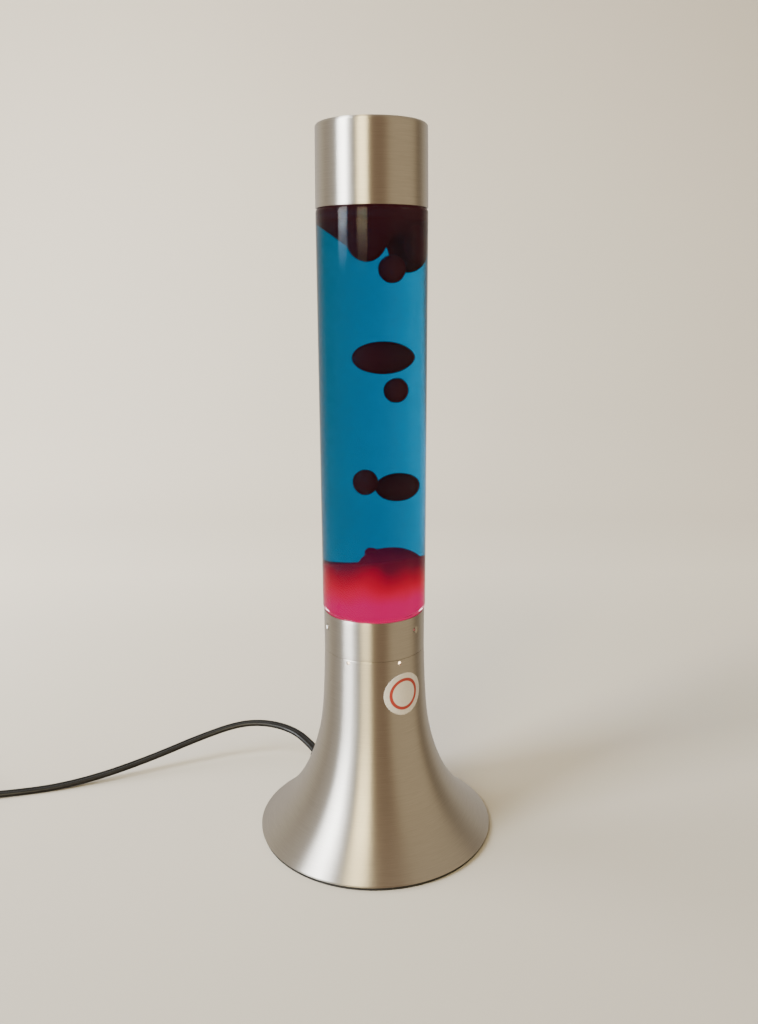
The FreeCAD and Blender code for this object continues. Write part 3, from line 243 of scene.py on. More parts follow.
def cubic_through(points, first_slope, last_slope, samples):
    """A smooth curve y(x) through points with given end slopes, as so many points."""
    xs, ys = (np.array(v, float) for v in zip(*points))
    gaps, rises = np.diff(xs), np.diff(ys)
    n = len(xs)
    grid, right = np.zeros((n, n)), np.zeros(n)
    grid[0, 0] = grid[-1, -1] = 1
    right[0], right[-1] = first_slope, last_slope
    for k in range(1, n - 1):
        grid[k, k - 1 : k + 2] = 1 / gaps[k - 1], 2 / gaps[k - 1] + 2 / gaps[k], 1 / gaps[k]
        right[k] = 3 * (rises[k - 1] / gaps[k - 1] ** 2 + rises[k] / gaps[k] ** 2)
    slopes = np.linalg.solve(grid, right)
    out = []
    for x in np.linspace(xs[0], xs[-1], samples + 1):
        k = min(int(np.searchsorted(xs, x, side="right")) - 1, n - 2)
        t, h = (x - xs[k]) / gaps[k], gaps[k]
        a, b = (1 + 2 * t) * (1 - t) ** 2, t * (1 - t) ** 2 * h
        c, d = t * t * (3 - 2 * t), t * t * (t - 1) * h
        out.append((float(x), float(a * ys[k] + b * slopes[k] + c * ys[k + 1] + d * slopes[k + 1])))
    return out


def evaluated(piece):
    """The piece's mesh with its modifiers applied, in its place."""
    depsgraph = bpy.context.evaluated_depsgraph_get()
    mesh = bpy.data.meshes.new_from_object(piece.evaluated_get(depsgraph), depsgraph=depsgraph)
    piece.modifiers.clear()
    piece.data = mesh
    return piece


def cut(piece, tools, mode="DIFFERENCE"):
    """The piece with the tools cut out of it or joined to it. The tools are used up."""
    for tool in tools:
        modifier = piece.modifiers.new("cut", "BOOLEAN")
        modifier.object, modifier.operation, modifier.solver = tool, mode, "EXACT"
    evaluated(piece)
    for tool in tools:
        bpy.data.objects.remove(tool)
    piece.data.set_sharp_from_angle(angle=math.radians(SHARP))
    return piece


def ball(name, centre, radii, detail=5):
    """A smooth ellipsoid of even faces."""
    bm = bmesh.new()
    bmesh.ops.create_icosphere(bm, subdivisions=detail, radius=1.0)
    for v in bm.verts:
        v.co = Vector(centre) + Vector([c * r for c, r in zip(v.co, radii)])
    return new_piece(name, bm, SMOOTH)


def rod(name, start, end, radius, segments=32):
    """A plain round bar between two points."""
    bm = bmesh.new()
    start, end = Vector(start), Vector(end)
    turn = (end - start).to_track_quat("Z", "Y").to_matrix().to_4x4()
    place = Matrix.Translation((start + end) / 2) @ turn
    bmesh.ops.create_cone(
        bm, segments=segments, radius1=radius, radius2=radius, depth=(end - start).length, cap_ends=True,
        matrix=place,
    )
    return new_piece(name, bm)


def azimuth(degrees, lean=0.0):
    """A direction, in degrees round the upright axis and above the level."""
    a, b = math.radians(degrees), math.radians(lean)
    return Vector((math.cos(a) * math.cos(b), math.sin(a) * math.cos(b), math.sin(b)))


def bars(name, spans, radius, segments):
    """Plain round bars between pairs of points, as one mesh."""
    bm = bmesh.new()
    for start, end in spans:
        bar = rod("bar", start, end, radius, segments)
        bm.from_mesh(bar.data)
        bpy.data.objects.remove(bar)
    return new_piece(name, bm)


# Geometry Nodes


def add_node(tree, kind, links, attributes):
    """A node of that kind, its attributes set and its inputs linked or given values."""
    node = tree.nodes.new(kind)
    for name, value in attributes.items():
        setattr(node, name, value)
    for socket, value in dict(links).items():
        if isinstance(value, bpy.types.NodeSocket):
            tree.links.new(value, node.inputs[socket])
        else:
            node.inputs[socket].default_value = value
    return node


def repeats_tree():
    """A tree that copies a shape, each copy a step and a turn about the upright axis on from the last."""
    tree = bpy.data.node_groups.new("repeats", "GeometryNodeTree")
    tree.interface.new_socket("Geometry", in_out="OUTPUT", socket_type="NodeSocketGeometry")
    kinds = {
        "Shape": "Object", "Count": "Int", "Start": "Vector", "Step": "Vector", "First Turn": "Float",
        "Turn": "Float", "Finish": "Material",
    }
    for label, kind in kinds.items():
        tree.interface.new_socket(label, in_out="INPUT", socket_type=f"NodeSocket{kind}")

    def add(kind, links=(), **attributes):
        return add_node(tree, kind, links, attributes).outputs

    size = add("NodeGroupInput")
    index = add("GeometryNodeInputIndex")["Index"]
    moved = add("ShaderNodeVectorMath", {0: size["Step"], 3: index}, operation="SCALE")["Vector"]
    place = add("ShaderNodeVectorMath", {0: size["Start"], 1: moved}, operation="ADD")["Vector"]
    links = {0: index, 1: size["Turn"], 2: size["First Turn"]}
    turned = add("ShaderNodeMath", links, operation="MULTIPLY_ADD")[0]
    where = add("ShaderNodeVectorRotate", {"Vector": place, "Angle": turned}, rotation_type="Z_AXIS")
    points = add("GeometryNodePoints", {"Count": size["Count"], "Position": where["Vector"]})
    euler = add("ShaderNodeCombineXYZ", {"Z": turned})["Vector"]
    facing = add("FunctionNodeEulerToRotation", {0: euler})[0]
    shape = add("GeometryNodeObjectInfo", {"Object": size["Shape"]})["Geometry"]
    links = {"Points": points[0], "Instance": shape, "Rotation": facing}
    copies = add("GeometryNodeInstanceOnPoints", links)["Instances"]
    real = add("GeometryNodeRealizeInstances", {"Geometry": copies})["Geometry"]
    finished = add("GeometryNodeSetMaterial", {"Geometry": real, "Material": size["Finish"]})["Geometry"]
    add("NodeGroupOutput", {"Geometry": finished})
    return tree


def repeated(name, shape, count, start=(0, 0, 0), step=(0, 0, 0), first=0.0, turn=0.0, finish=None):
    """So many copies of a shape as one mesh. The shape is used up. Turns are in degrees."""
    tree = bpy.data.node_groups.get("repeats") or repeats_tree()
    piece = put(name, bpy.data.meshes.new(name))
    modifier = piece.modifiers.new("repeats", "NODES")
    modifier.node_group = tree
    sizes = {
        "Shape": shape, "Count": count, "Start": tuple(start), "Step": tuple(step),
        "First Turn": math.radians(first), "Turn": math.radians(turn), "Finish": finish,
    }
    for item in tree.interface.items_tree:
        if item.name in sizes:
            modifier[item.identifier] = sizes[item.name]
    evaluated(piece)
    bpy.data.objects.remove(shape)
    return piece


def dress(piece, material, body=None, replaces=()):
    """Gives a piece its material and its body, and hides the nodes it stands for."""
    piece.data.materials.clear()
    piece.data.materials.append(material)
    if body:
        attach(piece, body)
    if replaces:
        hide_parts(*replaces)
    return piece


def finish_node(node, material):
    """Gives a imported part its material."""
    part = NODES[node]
    part.data.materials.clear()
    part.data.materials.append(material)


def merged_copy(node, material, sharp=30.0):
    """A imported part's own shape, its loose triangles merged into smooth faces, standing for it."""
    bm = bmesh.new()
    bm.from_mesh(NODES[node].data)
    bmesh.ops.remove_doubles(bm, verts=bm.verts, dist=1e-6)
    bmesh.ops.dissolve_limit(bm, angle_limit=math.radians(1), verts=bm.verts, edges=bm.edges)
    piece = new_piece(f"{node}_finished", bm, sharp)
    record = frame["record"]
    body = next(b for b, members in record["behaviour"]["bodies"].items() if node in members)
    return dress(piece, material, body, (node,))


# Materials


def fill_ramp(band, stops):
    """Sets a colour ramp's stops: places with colours, or with plain numbers for greys."""
    while len(band.elements) < len(stops):
        band.elements.new(0.5)
    for element, (position, colour) in zip(band.elements, stops):
        element.position = position
        colour = (colour,) * 3 if isinstance(colour, (int, float)) else colour
        element.color = (*colour, 1.0)


class Shade:
    """A material with one principled surface, and short ways to add nodes to it."""

    def __init__(self, name, **values):
        self.material = bpy.data.materials.new(name)
        self.material.use_nodes = True
        self.tree = self.material.node_tree
        self.surface = self.tree.nodes["Principled BSDF"]
        self.output = self.tree.nodes["Material Output"]
        for socket, value in values.items():
            self.set(socket.replace("_", " "), value)

    def set(self, socket, value):
        """A value that is the same all over the surface."""
        target = self.surface.inputs[socket]
        target.default_value = (*value, 1.0) if target.type == "RGBA" and len(value) == 3 else value

    def link(self, source, socket):
        self.tree.links.new(source, self.surface.inputs[socket])

    def add(self, kind, links=(), **attributes):
        return add_node(self.tree, f"ShaderNode{kind}", links, attributes)

    def place(self, scale=(1, 1, 1), rotation=(0, 0, 0)):
        """The point in object coordinates, scaled and turned."""
        coords = self.add("TexCoord").outputs["Object"]
        links = {"Vector": coords, "Scale": scale, "Rotation": rotation}
        return self.add("Mapping", links).outputs["Vector"]

    def axes(self, vector=None):
        """X, Y and Z of a vector, or of the point itself."""
        return self.add("SeparateXYZ", {"Vector": vector or self.place()}).outputs

    def noise(self, vector, scale, detail=3.0, roughness=0.5):
        links = {"Vector": vector, "Scale": scale, "Detail": detail, "Roughness": roughness}
        return self.add("TexNoise", links).outputs["Fac"]

    def ramp(self, fac, *stops):
        node = self.add("ValToRGB", {"Fac": fac})
        fill_ramp(node.color_ramp, stops)
        return node.outputs["Color"]

    def math(self, operation, a, b=0.0, clamp=False):
        return self.add("Math", {0: a, 1: b}, operation=operation, use_clamp=clamp).outputs[0]

    def way(self, value, start, span):
        """How far a value has come from a start over a span, from 0 to 1."""
        return self.math("DIVIDE", self.math("SUBTRACT", value, start), span, clamp=True)

    def radius(self, a, b):
        """How far two coordinates together are from zero."""
        flat = self.add("CombineXYZ", {"X": a, "Y": b}).outputs[0]
        return self.add("VectorMath", {0: flat}, operation="LENGTH").outputs["Value"]

    def mix(self, fac, a, b, blend="MIX"):
        node = self.add("Mix", data_type="RGBA", blend_type=blend)
        for socket, value in ((0, fac), (6, a), (7, b)):
            if isinstance(value, bpy.types.NodeSocket):
                self.tree.links.new(value, node.inputs[socket])
            else:
                node.inputs[socket].default_value = (*value, 1.0) if socket else value
        return node.outputs[2]

    def mottle(self, fac, colour, shares, places=(0.3, 0.7)):
        """Colours the surface unevenly, between a darker and a paler share of one colour."""
        shades = [tuple(min(1, c * share) for c in colour) for share in shares]
        self.link(self.ramp(fac, *zip(places, shades)), "Base Color")

    def bump(self, height, distance, strength=1.0):
        node = self.add("Bump", {"Height": height, "Distance": distance, "Strength": strength})
        self.link(node.outputs["Normal"], "Normal")


# Moulded finishes: colour, roughness, the grain's depth and scale, and how uneven the tone is
MOULDED = {
    "foot_rubber": ((0.012, 0.012, 0.012), 0.75, 0.03 * MM, 1500, 0.25),
    "black_rubber": ((0.010, 0.010, 0.011), 0.5, 0.012 * MM, 2600, 0.25),
    "black_plastic": ((0.013, 0.013, 0.014), 0.42, 0.02 * MM, 2200, 0.25),
    "holder_plastic": ((0.62, 0.59, 0.53), 0.45, 0.012 * MM, 2600, 0.06),
    "ceramic": ((0.74, 0.72, 0.66), 0.6, 0.03 * MM, 1200, 0.06),
    "heat_proof_ring": ((0.05, 0.05, 0.05), 0.7, 0.012 * MM, 2600, 0.25),
    "liner_plastic": ((0.72, 0.72, 0.70), 0.5, 0.012 * MM, 2600, 0.05),
    "lead_insulation": ((0.66, 0.66, 0.63), 0.5, 0.03 * MM, 1800, 0.08),
    "stitch_thread": ((0.07, 0.07, 0.07), 0.75, 0.03 * MM, 3000, 0.25),
}
# Worked metals: colour, roughness, and how uneven the tone is
WORKED = {
    "plated_steel": ((0.58, 0.57, 0.55), 0.28, 0.15),
    "contact_brass": ((0.78, 0.58, 0.27), 0.22, 0.15),
    "bulb_cap_metal": ((0.70, 0.67, 0.61), 0.25, 0.15),
    "crown_metal": ((0.68, 0.66, 0.60), 0.3, 0.08),
}
MAKERS, MATERIALS = {}, {}


def moulded(name, colour, roughness, grain, scale, spread):
    """Moulded plastic or rubber with a fine grain and a slightly uneven tone."""
    s = Shade(name)
    spot = s.noise(s.place(), scale, 2.0, 0.6)
    s.mottle(s.noise(s.place(), 45.0, 3.0, 0.55), colour, (1 - spread, 1 + spread))
    s.link(s.ramp(spot, (0.3, roughness - 0.06), (0.7, roughness + 0.06)), "Roughness")
    s.bump(spot, grain, 0.6)
    return s.material


def worked_metal(name, colour, roughness, spread):
    """Plated or bare metal with small scuffs."""
    s = Shade(name, Metallic=1.0)
    scuff = s.noise(s.place((500, 500, 500)), 1.0, 4.0, 0.65)
    s.mottle(s.noise(s.place(), 120.0, 3.0, 0.6), colour, (1 - spread, 1.0), (0.35, 0.65))
    s.link(s.ramp(scuff, (0.35, roughness), (0.7, roughness + 0.18)), "Roughness")
    s.bump(scuff, 0.01 * MM, 0.5)
    return s.material


def material(make):
    """Keeps the maker of a material under its name."""
    MAKERS[make.__name__] = make
    return make


def finish(name):
    """The material of that name, made once."""
    if name not in MATERIALS:
        if name in MOULDED:
            MATERIALS[name] = moulded(name, *MOULDED[name])
        elif name in WORKED:
            MATERIALS[name] = worked_metal(name, *WORKED[name])
        else:
            MATERIALS[name] = MAKERS[name]()
    return MATERIALS[name]


@material
def brushed_aluminium():
    """Spun aluminium: fine turned lines round the axis and a highlight that stretches across them."""
    look = settings("lamp_metal")
    s = Shade("brushed_aluminium", Metallic=1.0, Anisotropic=look.stretch, Anisotropic_Rotation=0.25)
    s.link(s.add("Tangent", direction_type="RADIAL", axis="Z").outputs[0], "Tangent")
    x, y, z = s.axes()
    # Lines are packed close along the outline, so they run round the wall and round the cap's lid
    packing = 60.0
    along = s.math("MULTIPLY", s.math("SUBTRACT", z, s.radius(x, y)), packing)
    turned = s.add("CombineXYZ", {"X": x, "Y": y, "Z": along}).outputs[0]
    lines = s.noise(turned, 70.0, 3.0, 0.7)
    fine = s.noise(turned, 210.0, 2.0, 0.6)
    haze = s.noise(s.place(), 22.0, 3.0, 0.5)
    s.mottle(lines, look.tint, (0.88, 1.08))
    fine_share, haze_share = 0.06, 0.05
    rough = s.math("ADD", s.math("MULTIPLY", fine, fine_share), s.math("MULTIPLY", haze, haze_share))
    s.link(s.math("ADD", rough, look.roughness - (fine_share + haze_share) / 2), "Roughness")
    s.bump(s.math("ADD", lines, fine), look.lines, 0.5)
    return s.material


@material
def cord_sheath():
    """Black sheath with a soft sheen and faint drawing marks."""
    s = Shade("cord_sheath", Specular_IOR_Level=0.3)
    grain = s.noise(s.place(), 900.0, 3.0, 0.55)
    s.mottle(s.noise(s.place(), 70.0, 2.0, 0.5), (0.008, 0.008, 0.008), (0.5, 1.0))
    s.link(s.ramp(grain, (0.3, 0.30), (0.7, 0.44)), "Roughness")
    s.bump(grain, 0.02 * MM, 0.5)
    return s.material


@material
def tie_fabric():
    """Woven strap: a fine basket of threads both ways."""
    s = Shade("tie_fabric", Roughness=0.9, Sheen_Weight=0.08, Sheen_Roughness=0.5)
    threads = []
    for way in ("Y", "X"):
        links = {"Vector": s.place(), "Scale": 700.0, "Distortion": 1.2}
        threads.append(s.add("TexWave", links, bands_direction=way).outputs["Fac"])
    weave = s.math("MAXIMUM", *threads)
    s.link(s.ramp(weave, (0.2, (0.008, 0.008, 0.009)), (0.9, (0.030, 0.030, 0.032))), "Base Color")
    s.bump(weave, 0.12 * MM, 0.8)
    return s.material


def lit_through(s, tint, surface):
    """Lets lamps shine through the surface, tinted, where a shadow would be solid."""
    ray = s.add("LightPath").outputs["Is Shadow Ray"]
    clear = s.add("BsdfTransparent", {"Color": (*tint, 1.0)})
    both = s.add("MixShader", {0: ray, 1: surface.outputs[0], 2: clear.outputs[0]})
    s.tree.links.new(both.outputs[0], s.output.inputs["Surface"])


@material
def clear_glass():
    """Drawn bottle glass, with a faint green cast and slight ripple. Lamps shine through it."""
    s = Shade(
        "clear_glass", Base_Color=(0.985, 1.0, 0.995), Roughness=0.0, IOR=1.18, Transmission_Weight=1.0,
    )
    ripple = s.noise(s.place((110, 110, 22)), 1.0, 2.0, 0.5)
    s.bump(ripple, 0.05 * MM, 0.5)
    lit_through(s, (0.96, 0.98, 0.98), s.surface)
    return s.material


@material
def blue_liquid():
    """Clear dyed liquid: red is absorbed within a few millimetres, blue hardly at all."""
    look = settings("lamp_liquid")
    water = 1.333
    s = Shade(
        "blue_liquid", Base_Color=tuple(look.tint), Roughness=0.0, IOR=water, Transmission_Weight=1.0,
        Specular_Tint=(0.08, 0.08, 0.08),
    )
    # Plain refraction, which mirrors nothing of the pale room at the bottle's edges
    tint = (*(c**0.5 for c in look.tint), 1.0)
    bent = s.add("BsdfRefraction", {"Color": tint, "Roughness": 0.0, "IOR": water})
    calm = s.add("MixShader", {0: 0.9, 1: s.surface.outputs[0], 2: bent.outputs[0]})
    dye = s.add("VolumeAbsorption", {"Color": (*look.passes, 1.0), "Density": look.density})
    s.tree.links.new(dye.outputs[0], s.output.inputs["Volume"])
    lit_through(s, (0.30, 0.80, 0.93), calm)
    return s.material


def from_axis(s):
    """A point's distance from the axis as a share of the bottle's bore, its depth and its height."""
    x, y, z = s.axes()
    return s.math("DIVIDE", s.radius(x, y), BOTTLE_RADIUS - 2 * MM, clamp=True), y, z


@material
def red_wax():
    """Dark red wax in the blue liquid, with a painted glow that stands in for the light on it, stronger
    towards the middle of the bottle.
    """
    look = settings("lamp_wax")
    s = Shade("red_wax", Roughness=0.4, Specular_IOR_Level=0.0)
    tone = s.noise(s.place(), 60.0, 3.0, 0.5)
    s.mottle(tone, look.colour, (0.7, 1.25))
    share, _, height = from_axis(s)
    # The painted glow's gain in red, green and blue, from the axis out to the glass
    painted_glow_gains = (
        (0.0, (5.0, 1.5, 1.2)), (0.33, (3.0, 1.35, 1.1)), (0.5, (2.2, 1.25, 1.1)), (0.75, (1.5, 1.1, 1.05)),
        (1.0, (1.0, 1.0, 1.0)),
    )
    painted_glow = s.ramp(share, *[(p, tuple(c * g for c, g in zip(look.painted_glow, painted_glow_gain))) for p, painted_glow_gain in painted_glow_gains])
    # Painted shade: rims darker than what faces outwards, as if lit from outside, but for the slab under the
    # cap, which is even
    facing = s.add("Attribute", attribute_name="facing").outputs["Fac"]
    painted_rim_shade = s.ramp(facing, (0.0, 0.45), (0.45, 0.70), (0.85, 0.95), (1.0, 1.05))
    under_cap = s.way(height, CAP_Z - 16 * MM, 6 * MM)
    painted_rim_shade = s.mix(under_cap, painted_rim_shade, (1.1, 1.1, 1.1))
    # The painted glow, darkened by the painted rim shade, goes in as the wax's emission
    s.link(s.mix(1.0, painted_glow, painted_rim_shade, "MULTIPLY"), "Emission Color")
    s.set("Emission Strength", 1.0)
    s.bump(tone, 0.1 * MM, 0.3)
    return s.material


@material
def pool_wax():
    """Melted wax over the bulb, with the bulb's light through it painted on as glow: magenta low down, then
    red, then dark red towards the mound.
    """
    look = settings("lamp_wax")
    s = Shade("pool_wax", Base_Color=(0.02, 0.001, 0.003), Roughness=0.4, Specular_IOR_Level=0.0)
    share, depth, height = from_axis(s)
    # The painted glow's level: swirled, and lower towards the front
    swirl = s.noise(s.place((34, 34, 30)), 1.0, 2.0, 0.5)
    lift = s.math("MULTIPLY", s.math("SUBTRACT", swirl, 0.5), 19 * MM)
    level = s.math("ADD", s.math("ADD", height, lift), s.math("MULTIPLY", depth, 0.21))
    glow = tuple(look.glow)
    painted_bulb_glow = s.ramp(
        s.way(level, COLLAR_TOP - 9 * MM, 55 * MM), (0.0, glow), (0.24, glow), (0.36, (4.2, 0.001, 0.08)),
        (0.45, (3.6, 0.002, 0.042)), (0.54, (2.5, 0.006, 0.034)), (0.66, (0.85, 0.011, 0.034)),
        (0.8, (0.42, 0.007, 0.031)), (1.0, (0.30, 0.005, 0.028)),
    )
    # Painted glow stronger towards the axis, where more liquid lies in front of the wax
    painted_glow_gain = s.ramp(
        share, (0.0, (4.5, 1.5, 1.2)), (0.5, (2.0, 1.2, 1.1)), (0.8, (1.2, 1.1, 1.0)), (0.95, (1.0, 1.0, 1.0))
    )
    lit = s.mix(1.0, painted_bulb_glow, painted_glow_gain, "MULTIPLY")
    # Painted highlight: bright arcs low on both sides, where the bottle's heel gathers the bulb's light,
    # painted into the pool's emission
    painted_arc_height = s.ramp(
        s.way(height, COLLAR_TOP - 2 * MM, 4 * MM), (0.46, 0.0), (0.49, 1.0), (0.54, 1.0), (0.57, 0.0)
    )
    sides = s.ramp(
        s.way(s.axes()["X"], -BOTTLE_RADIUS, 2 * BOTTLE_RADIUS), (0.0, 0.4), (0.06, 1.0), (0.22, 0.7),
        (0.30, 0.0), (0.58, 0.0), (0.66, 0.9), (0.88, 1.0), (1.0, 0.5),
    )
    s.link(s.mix(s.math("MULTIPLY", painted_arc_height, sides), lit, (29.0, 5.2, 4.9)), "Emission Color")
    s.set("Emission Strength", look.strength)
    return s.material


@material
def bulb_glass():
    """Reflector bulb: silvered up to the crown, where the clear glass is lit."""
    s = Shade("bulb_glass", Roughness=0.08, Emission_Strength=6.0)
    crown = high("bulb_envelope").z - 10 * MM
    clear = s.math("GREATER_THAN", s.axes()["Z"], crown)
    s.link(s.math("SUBTRACT", 1.0, clear), "Metallic")
    s.link(s.mix(clear, (0.80, 0.78, 0.74), (0.95, 0.90, 0.80)), "Base Color")
    s.link(s.mix(clear, (0.0, 0.0, 0.0), (1.0, 0.78, 0.50)), "Emission Color")
    return s.material


@material
def filament():
    """Glowing tungsten wire."""
    s = Shade(
        "filament", Metallic=1.0, Roughness=0.4, Emission_Color=(1.0, 0.72, 0.40), Emission_Strength=20.0
    )
    warm = s.noise(s.place(), 300.0, 2.0, 0.5)
    s.link(s.ramp(warm, (0.3, (0.5, 0.48, 0.45)), (0.7, (0.62, 0.6, 0.56))), "Base Color")
    return s.material


LABEL_AZIMUTH = -55.3
LABEL_Z = 97.0 * MM
LABEL_RADIUS = 12.5 * MM


@material
def label_print():
    """White vinyl with a plain red ring."""
    s = Shade("label_print", Roughness=0.45, Coat_Weight=0.2, Coat_Roughness=0.3)
    turned = s.place(rotation=(0, 0, math.radians(-LABEL_AZIMUTH)))
    face = s.axes(s.add("Mapping", {"Vector": turned, "Location": (0, 0, -LABEL_Z)}).outputs["Vector"])
    share = s.math("DIVIDE", s.radius(face["Y"], face["Z"]), LABEL_RADIUS)
    worn = s.noise(s.place(), 900.0, 3.0, 0.6)
    paper = s.ramp(worn, (0.3, (0.60, 0.57, 0.53)), (0.7, (0.66, 0.63, 0.59)))
    ring = s.ramp(share, (0.0, 0.0), (0.60, 0.0), (0.62, 1.0), (0.75, 1.0), (0.77, 0.0))
    s.link(s.mix(ring, paper, (0.36, 0.030, 0.022)), "Base Color")
    return s.material


# Stage


class LAMP_OT_camera(bpy.types.Operator):
    """Set the camera where the photograph was taken from"""

    bl_idname = "lamp.camera"
    bl_label = "Camera"

    PLACE = (3.1 * MM, -506.3 * MM, 324.4 * MM)
    PITCH = 13.97
    ROLL = -0.25
    LENS = 31.94

    def execute(self, context):
        data = bpy.data.cameras.new("camera")
        data.lens, data.sensor_width, data.clip_start = self.LENS, 36.0, 0.01
        camera = put("camera", data)
        tilt = Matrix.Rotation(math.radians(90 - self.PITCH), 4, "X")
        roll = Matrix.Rotation(math.radians(self.ROLL), 4, "Z")
        camera.matrix_world = Matrix.Translation(self.PLACE) @ tilt @ roll
        context.scene.camera = camera
        return {"FINISHED"}


class LAMP_OT_stage(bpy.types.Operator):
    """Lay the paper sweep and set the lights"""

    bl_idname = "lamp.stage"
    bl_label = "Stage"

    # The paper's front edge, where it turns up, that turn's radius, its top and its half width
    FRONT, TURN_Y, TURN_RADIUS, TOP, HALF = -2.2, 0.75, 0.7, 3.0, 2.6
    TURN_STEPS = 32
    # Tall lights: degrees to the right of the front, distance, width and colour
    WINDOW = (-61.5, 1.5, 0.52, (0.94, 0.97, 1.0))
    WARM = (-19.0, 1.7, 0.60, (1.0, 0.84, 0.46))
    LIGHT_LOW, LIGHT_TOP = 0.35, 2.2
    # Their lower ends fade in steps, so that what the glass mirrors of them ends softly
    FADE_STEP = 0.0155
    FADE = (0.03, 0.08, 0.15, 0.25, 0.38, 0.55, 0.76, 1.0)
    SIDE_PLACE, SIDE_TARGET = (-1.1, 0.35, 0.75), (-0.1, 0.95, 0.22)
    SIDE_SIZE, SIDE_COLOUR = (1.0, 1.0), (1.0, 0.98, 0.96)
    # What the metal mirrors all round, as shares of a turn from the back by the left, with 0.5 in front
    ROOM = (
        (0.0, (0.74, 0.68, 0.62)), (0.10, (0.93, 0.84, 0.73)), (0.16, (0.80, 0.71, 0.56)),
        (0.205, (0.56, 0.48, 0.38)), (0.25, (0.70, 0.63, 0.54)), (0.40, (0.72, 0.67, 0.58)),
        (0.46, (0.52, 0.44, 0.33)), (0.50, (0.38, 0.26, 0.165)), (0.575, (0.36, 0.245, 0.155)),
        (0.615, (0.67, 0.53, 0.345)), (0.76, (0.72, 0.575, 0.375)), (0.80, (0.30, 0.225, 0.145)),
        (0.83, (0.32, 0.25, 0.17)), (0.87, (0.59, 0.505, 0.385)), (1.0, (0.74, 0.68, 0.62)),
    )

    def execute(self, context):
        look = settings("lamp_stage")
        self.paper(tuple(look.paper))
        self.tall_light("window", look.window, *self.WINDOW)
        self.tall_light("warm", look.warm, *self.WARM)
        self.side_light(look.side)
        self.room(look.room)
        return {"FINISHED"}

    def paper(self, colour):
        """A floor that turns up into a wall behind the lamp, out of the metal's sight."""
        bm = bmesh.new()
        path = [(self.FRONT, 0.0), (self.TURN_Y, 0.0)]
        for k in range(1, self.TURN_STEPS + 1):
            a = math.pi / 2 * k / self.TURN_STEPS
            path.append((self.TURN_Y + self.TURN_RADIUS * math.sin(a), self.TURN_RADIUS * (1 - math.cos(a))))
        path.append((self.TURN_Y + self.TURN_RADIUS, self.TOP))
        rows = [[bm.verts.new((x, y, z)) for x in (-self.HALF, self.HALF)] for y, z in path]
        for a, b in zip(rows, rows[1:]):
            bm.faces.new((a[0], a[1], b[1], b[0]))
        sweep = new_piece("paper_sweep", bm, SMOOTH)
        s = Shade("paper", Roughness=0.85)
        tone = s.noise(s.place(), 1.3, 3.0, 0.5)
        fibre = s.noise(s.place(), 380.0, 4.0, 0.6)
        uneven = s.ramp(tone, (0.35, tuple(c * 0.97 for c in colour)), (0.65, colour))
        # Painted shade: a little darker near the camera and up the wall, where less light falls
        _, y, z = s.axes()
        near = s.ramp(s.way(y, -0.5, 1.0), (0.3, 0.645), (0.5, 0.714), (0.83, 0.865), (1.0, 1.0))
        tall = s.ramp(
            z, (0.0, 1.0), (0.1, 0.93), (0.32, (0.885, 0.885, 0.88)), (0.62, (0.825, 0.812, 0.798)),
            (0.82, (0.76, 0.742, 0.725)), (1.0, (0.72, 0.70, 0.68)),
        )
        s.link(s.mix(1.0, uneven, s.mix(1.0, near, tall, "MULTIPLY"), "MULTIPLY"), "Base Color")
        s.bump(fibre, 0.05 * MM, 0.3)
        sweep.data.materials.append(s.material)
        sweep.visible_glossy = False

    def tall_light(self, name, power, turn, distance, width, colour):
        """A tall soft light that fades out at its lower end."""
        a = math.radians(turn)
        levels = [self.LIGHT_LOW + self.FADE_STEP * k for k in range(len(self.FADE))] + [self.LIGHT_TOP]
        for k, share in enumerate(self.FADE):
            low_end, high_end = levels[k : k + 2]
            place = Vector((math.sin(a) * distance, -math.cos(a) * distance, (low_end + high_end) / 2))
            tall = high_end - low_end
            part = power * share * tall / (self.LIGHT_TOP - levels[-2])
            self.light(f"{name}_{k}", place, Vector((0, 0, place.z)), (width, tall), part, colour)

    def side_light(self, power):
        """A broad light low over the paper on the left, out of the metal's and the glass's sight."""
        place, target = Vector(self.SIDE_PLACE), Vector(self.SIDE_TARGET)
        light = self.light("side_light", place, target, self.SIDE_SIZE, power, self.SIDE_COLOUR)
        light.visible_glossy = light.visible_transmission = False

    def light(self, name, place, target, size, power, colour):
        data = bpy.data.lights.new(name, "AREA")
        data.shape, data.size, data.size_y = "RECTANGLE", size[0], size[1]
        data.energy, data.color = power, colour
        light = put(name, data)
        light.location = place
        light.rotation_euler = (target - place).to_track_quat("-Z", "Y").to_euler()
        return light

    def room(self, strength):
        """A dim warm room all round, whose bands the metal mirrors as its stripes."""
        world = bpy.data.worlds.new("room")
        world.use_nodes = True
        bpy.context.scene.world = world
        tree = world.node_tree

        def add(kind, links=(), **attributes):
            return add_node(tree, f"ShaderNode{kind}", links, attributes)

        parts = add("SeparateXYZ", {0: add("TexCoord").outputs["Generated"]}).outputs
        flip = add("Math", {0: parts["Y"], 1: -1.0}, operation="MULTIPLY").outputs[0]
        turn = add("Math", {0: parts["X"], 1: flip}, operation="ARCTAN2").outputs[0]
        share = add("MapRange", {"Value": turn, "From Min": -math.pi, "From Max": math.pi}).outputs[0]
        band = add("ValToRGB", {"Fac": share})
        fill_ramp(band.color_ramp, self.ROOM)
        back = tree.nodes["Background"]
        tree.links.new(band.outputs[0], back.inputs["Color"])
        back.inputs["Strength"].default_value = strength


# Cord


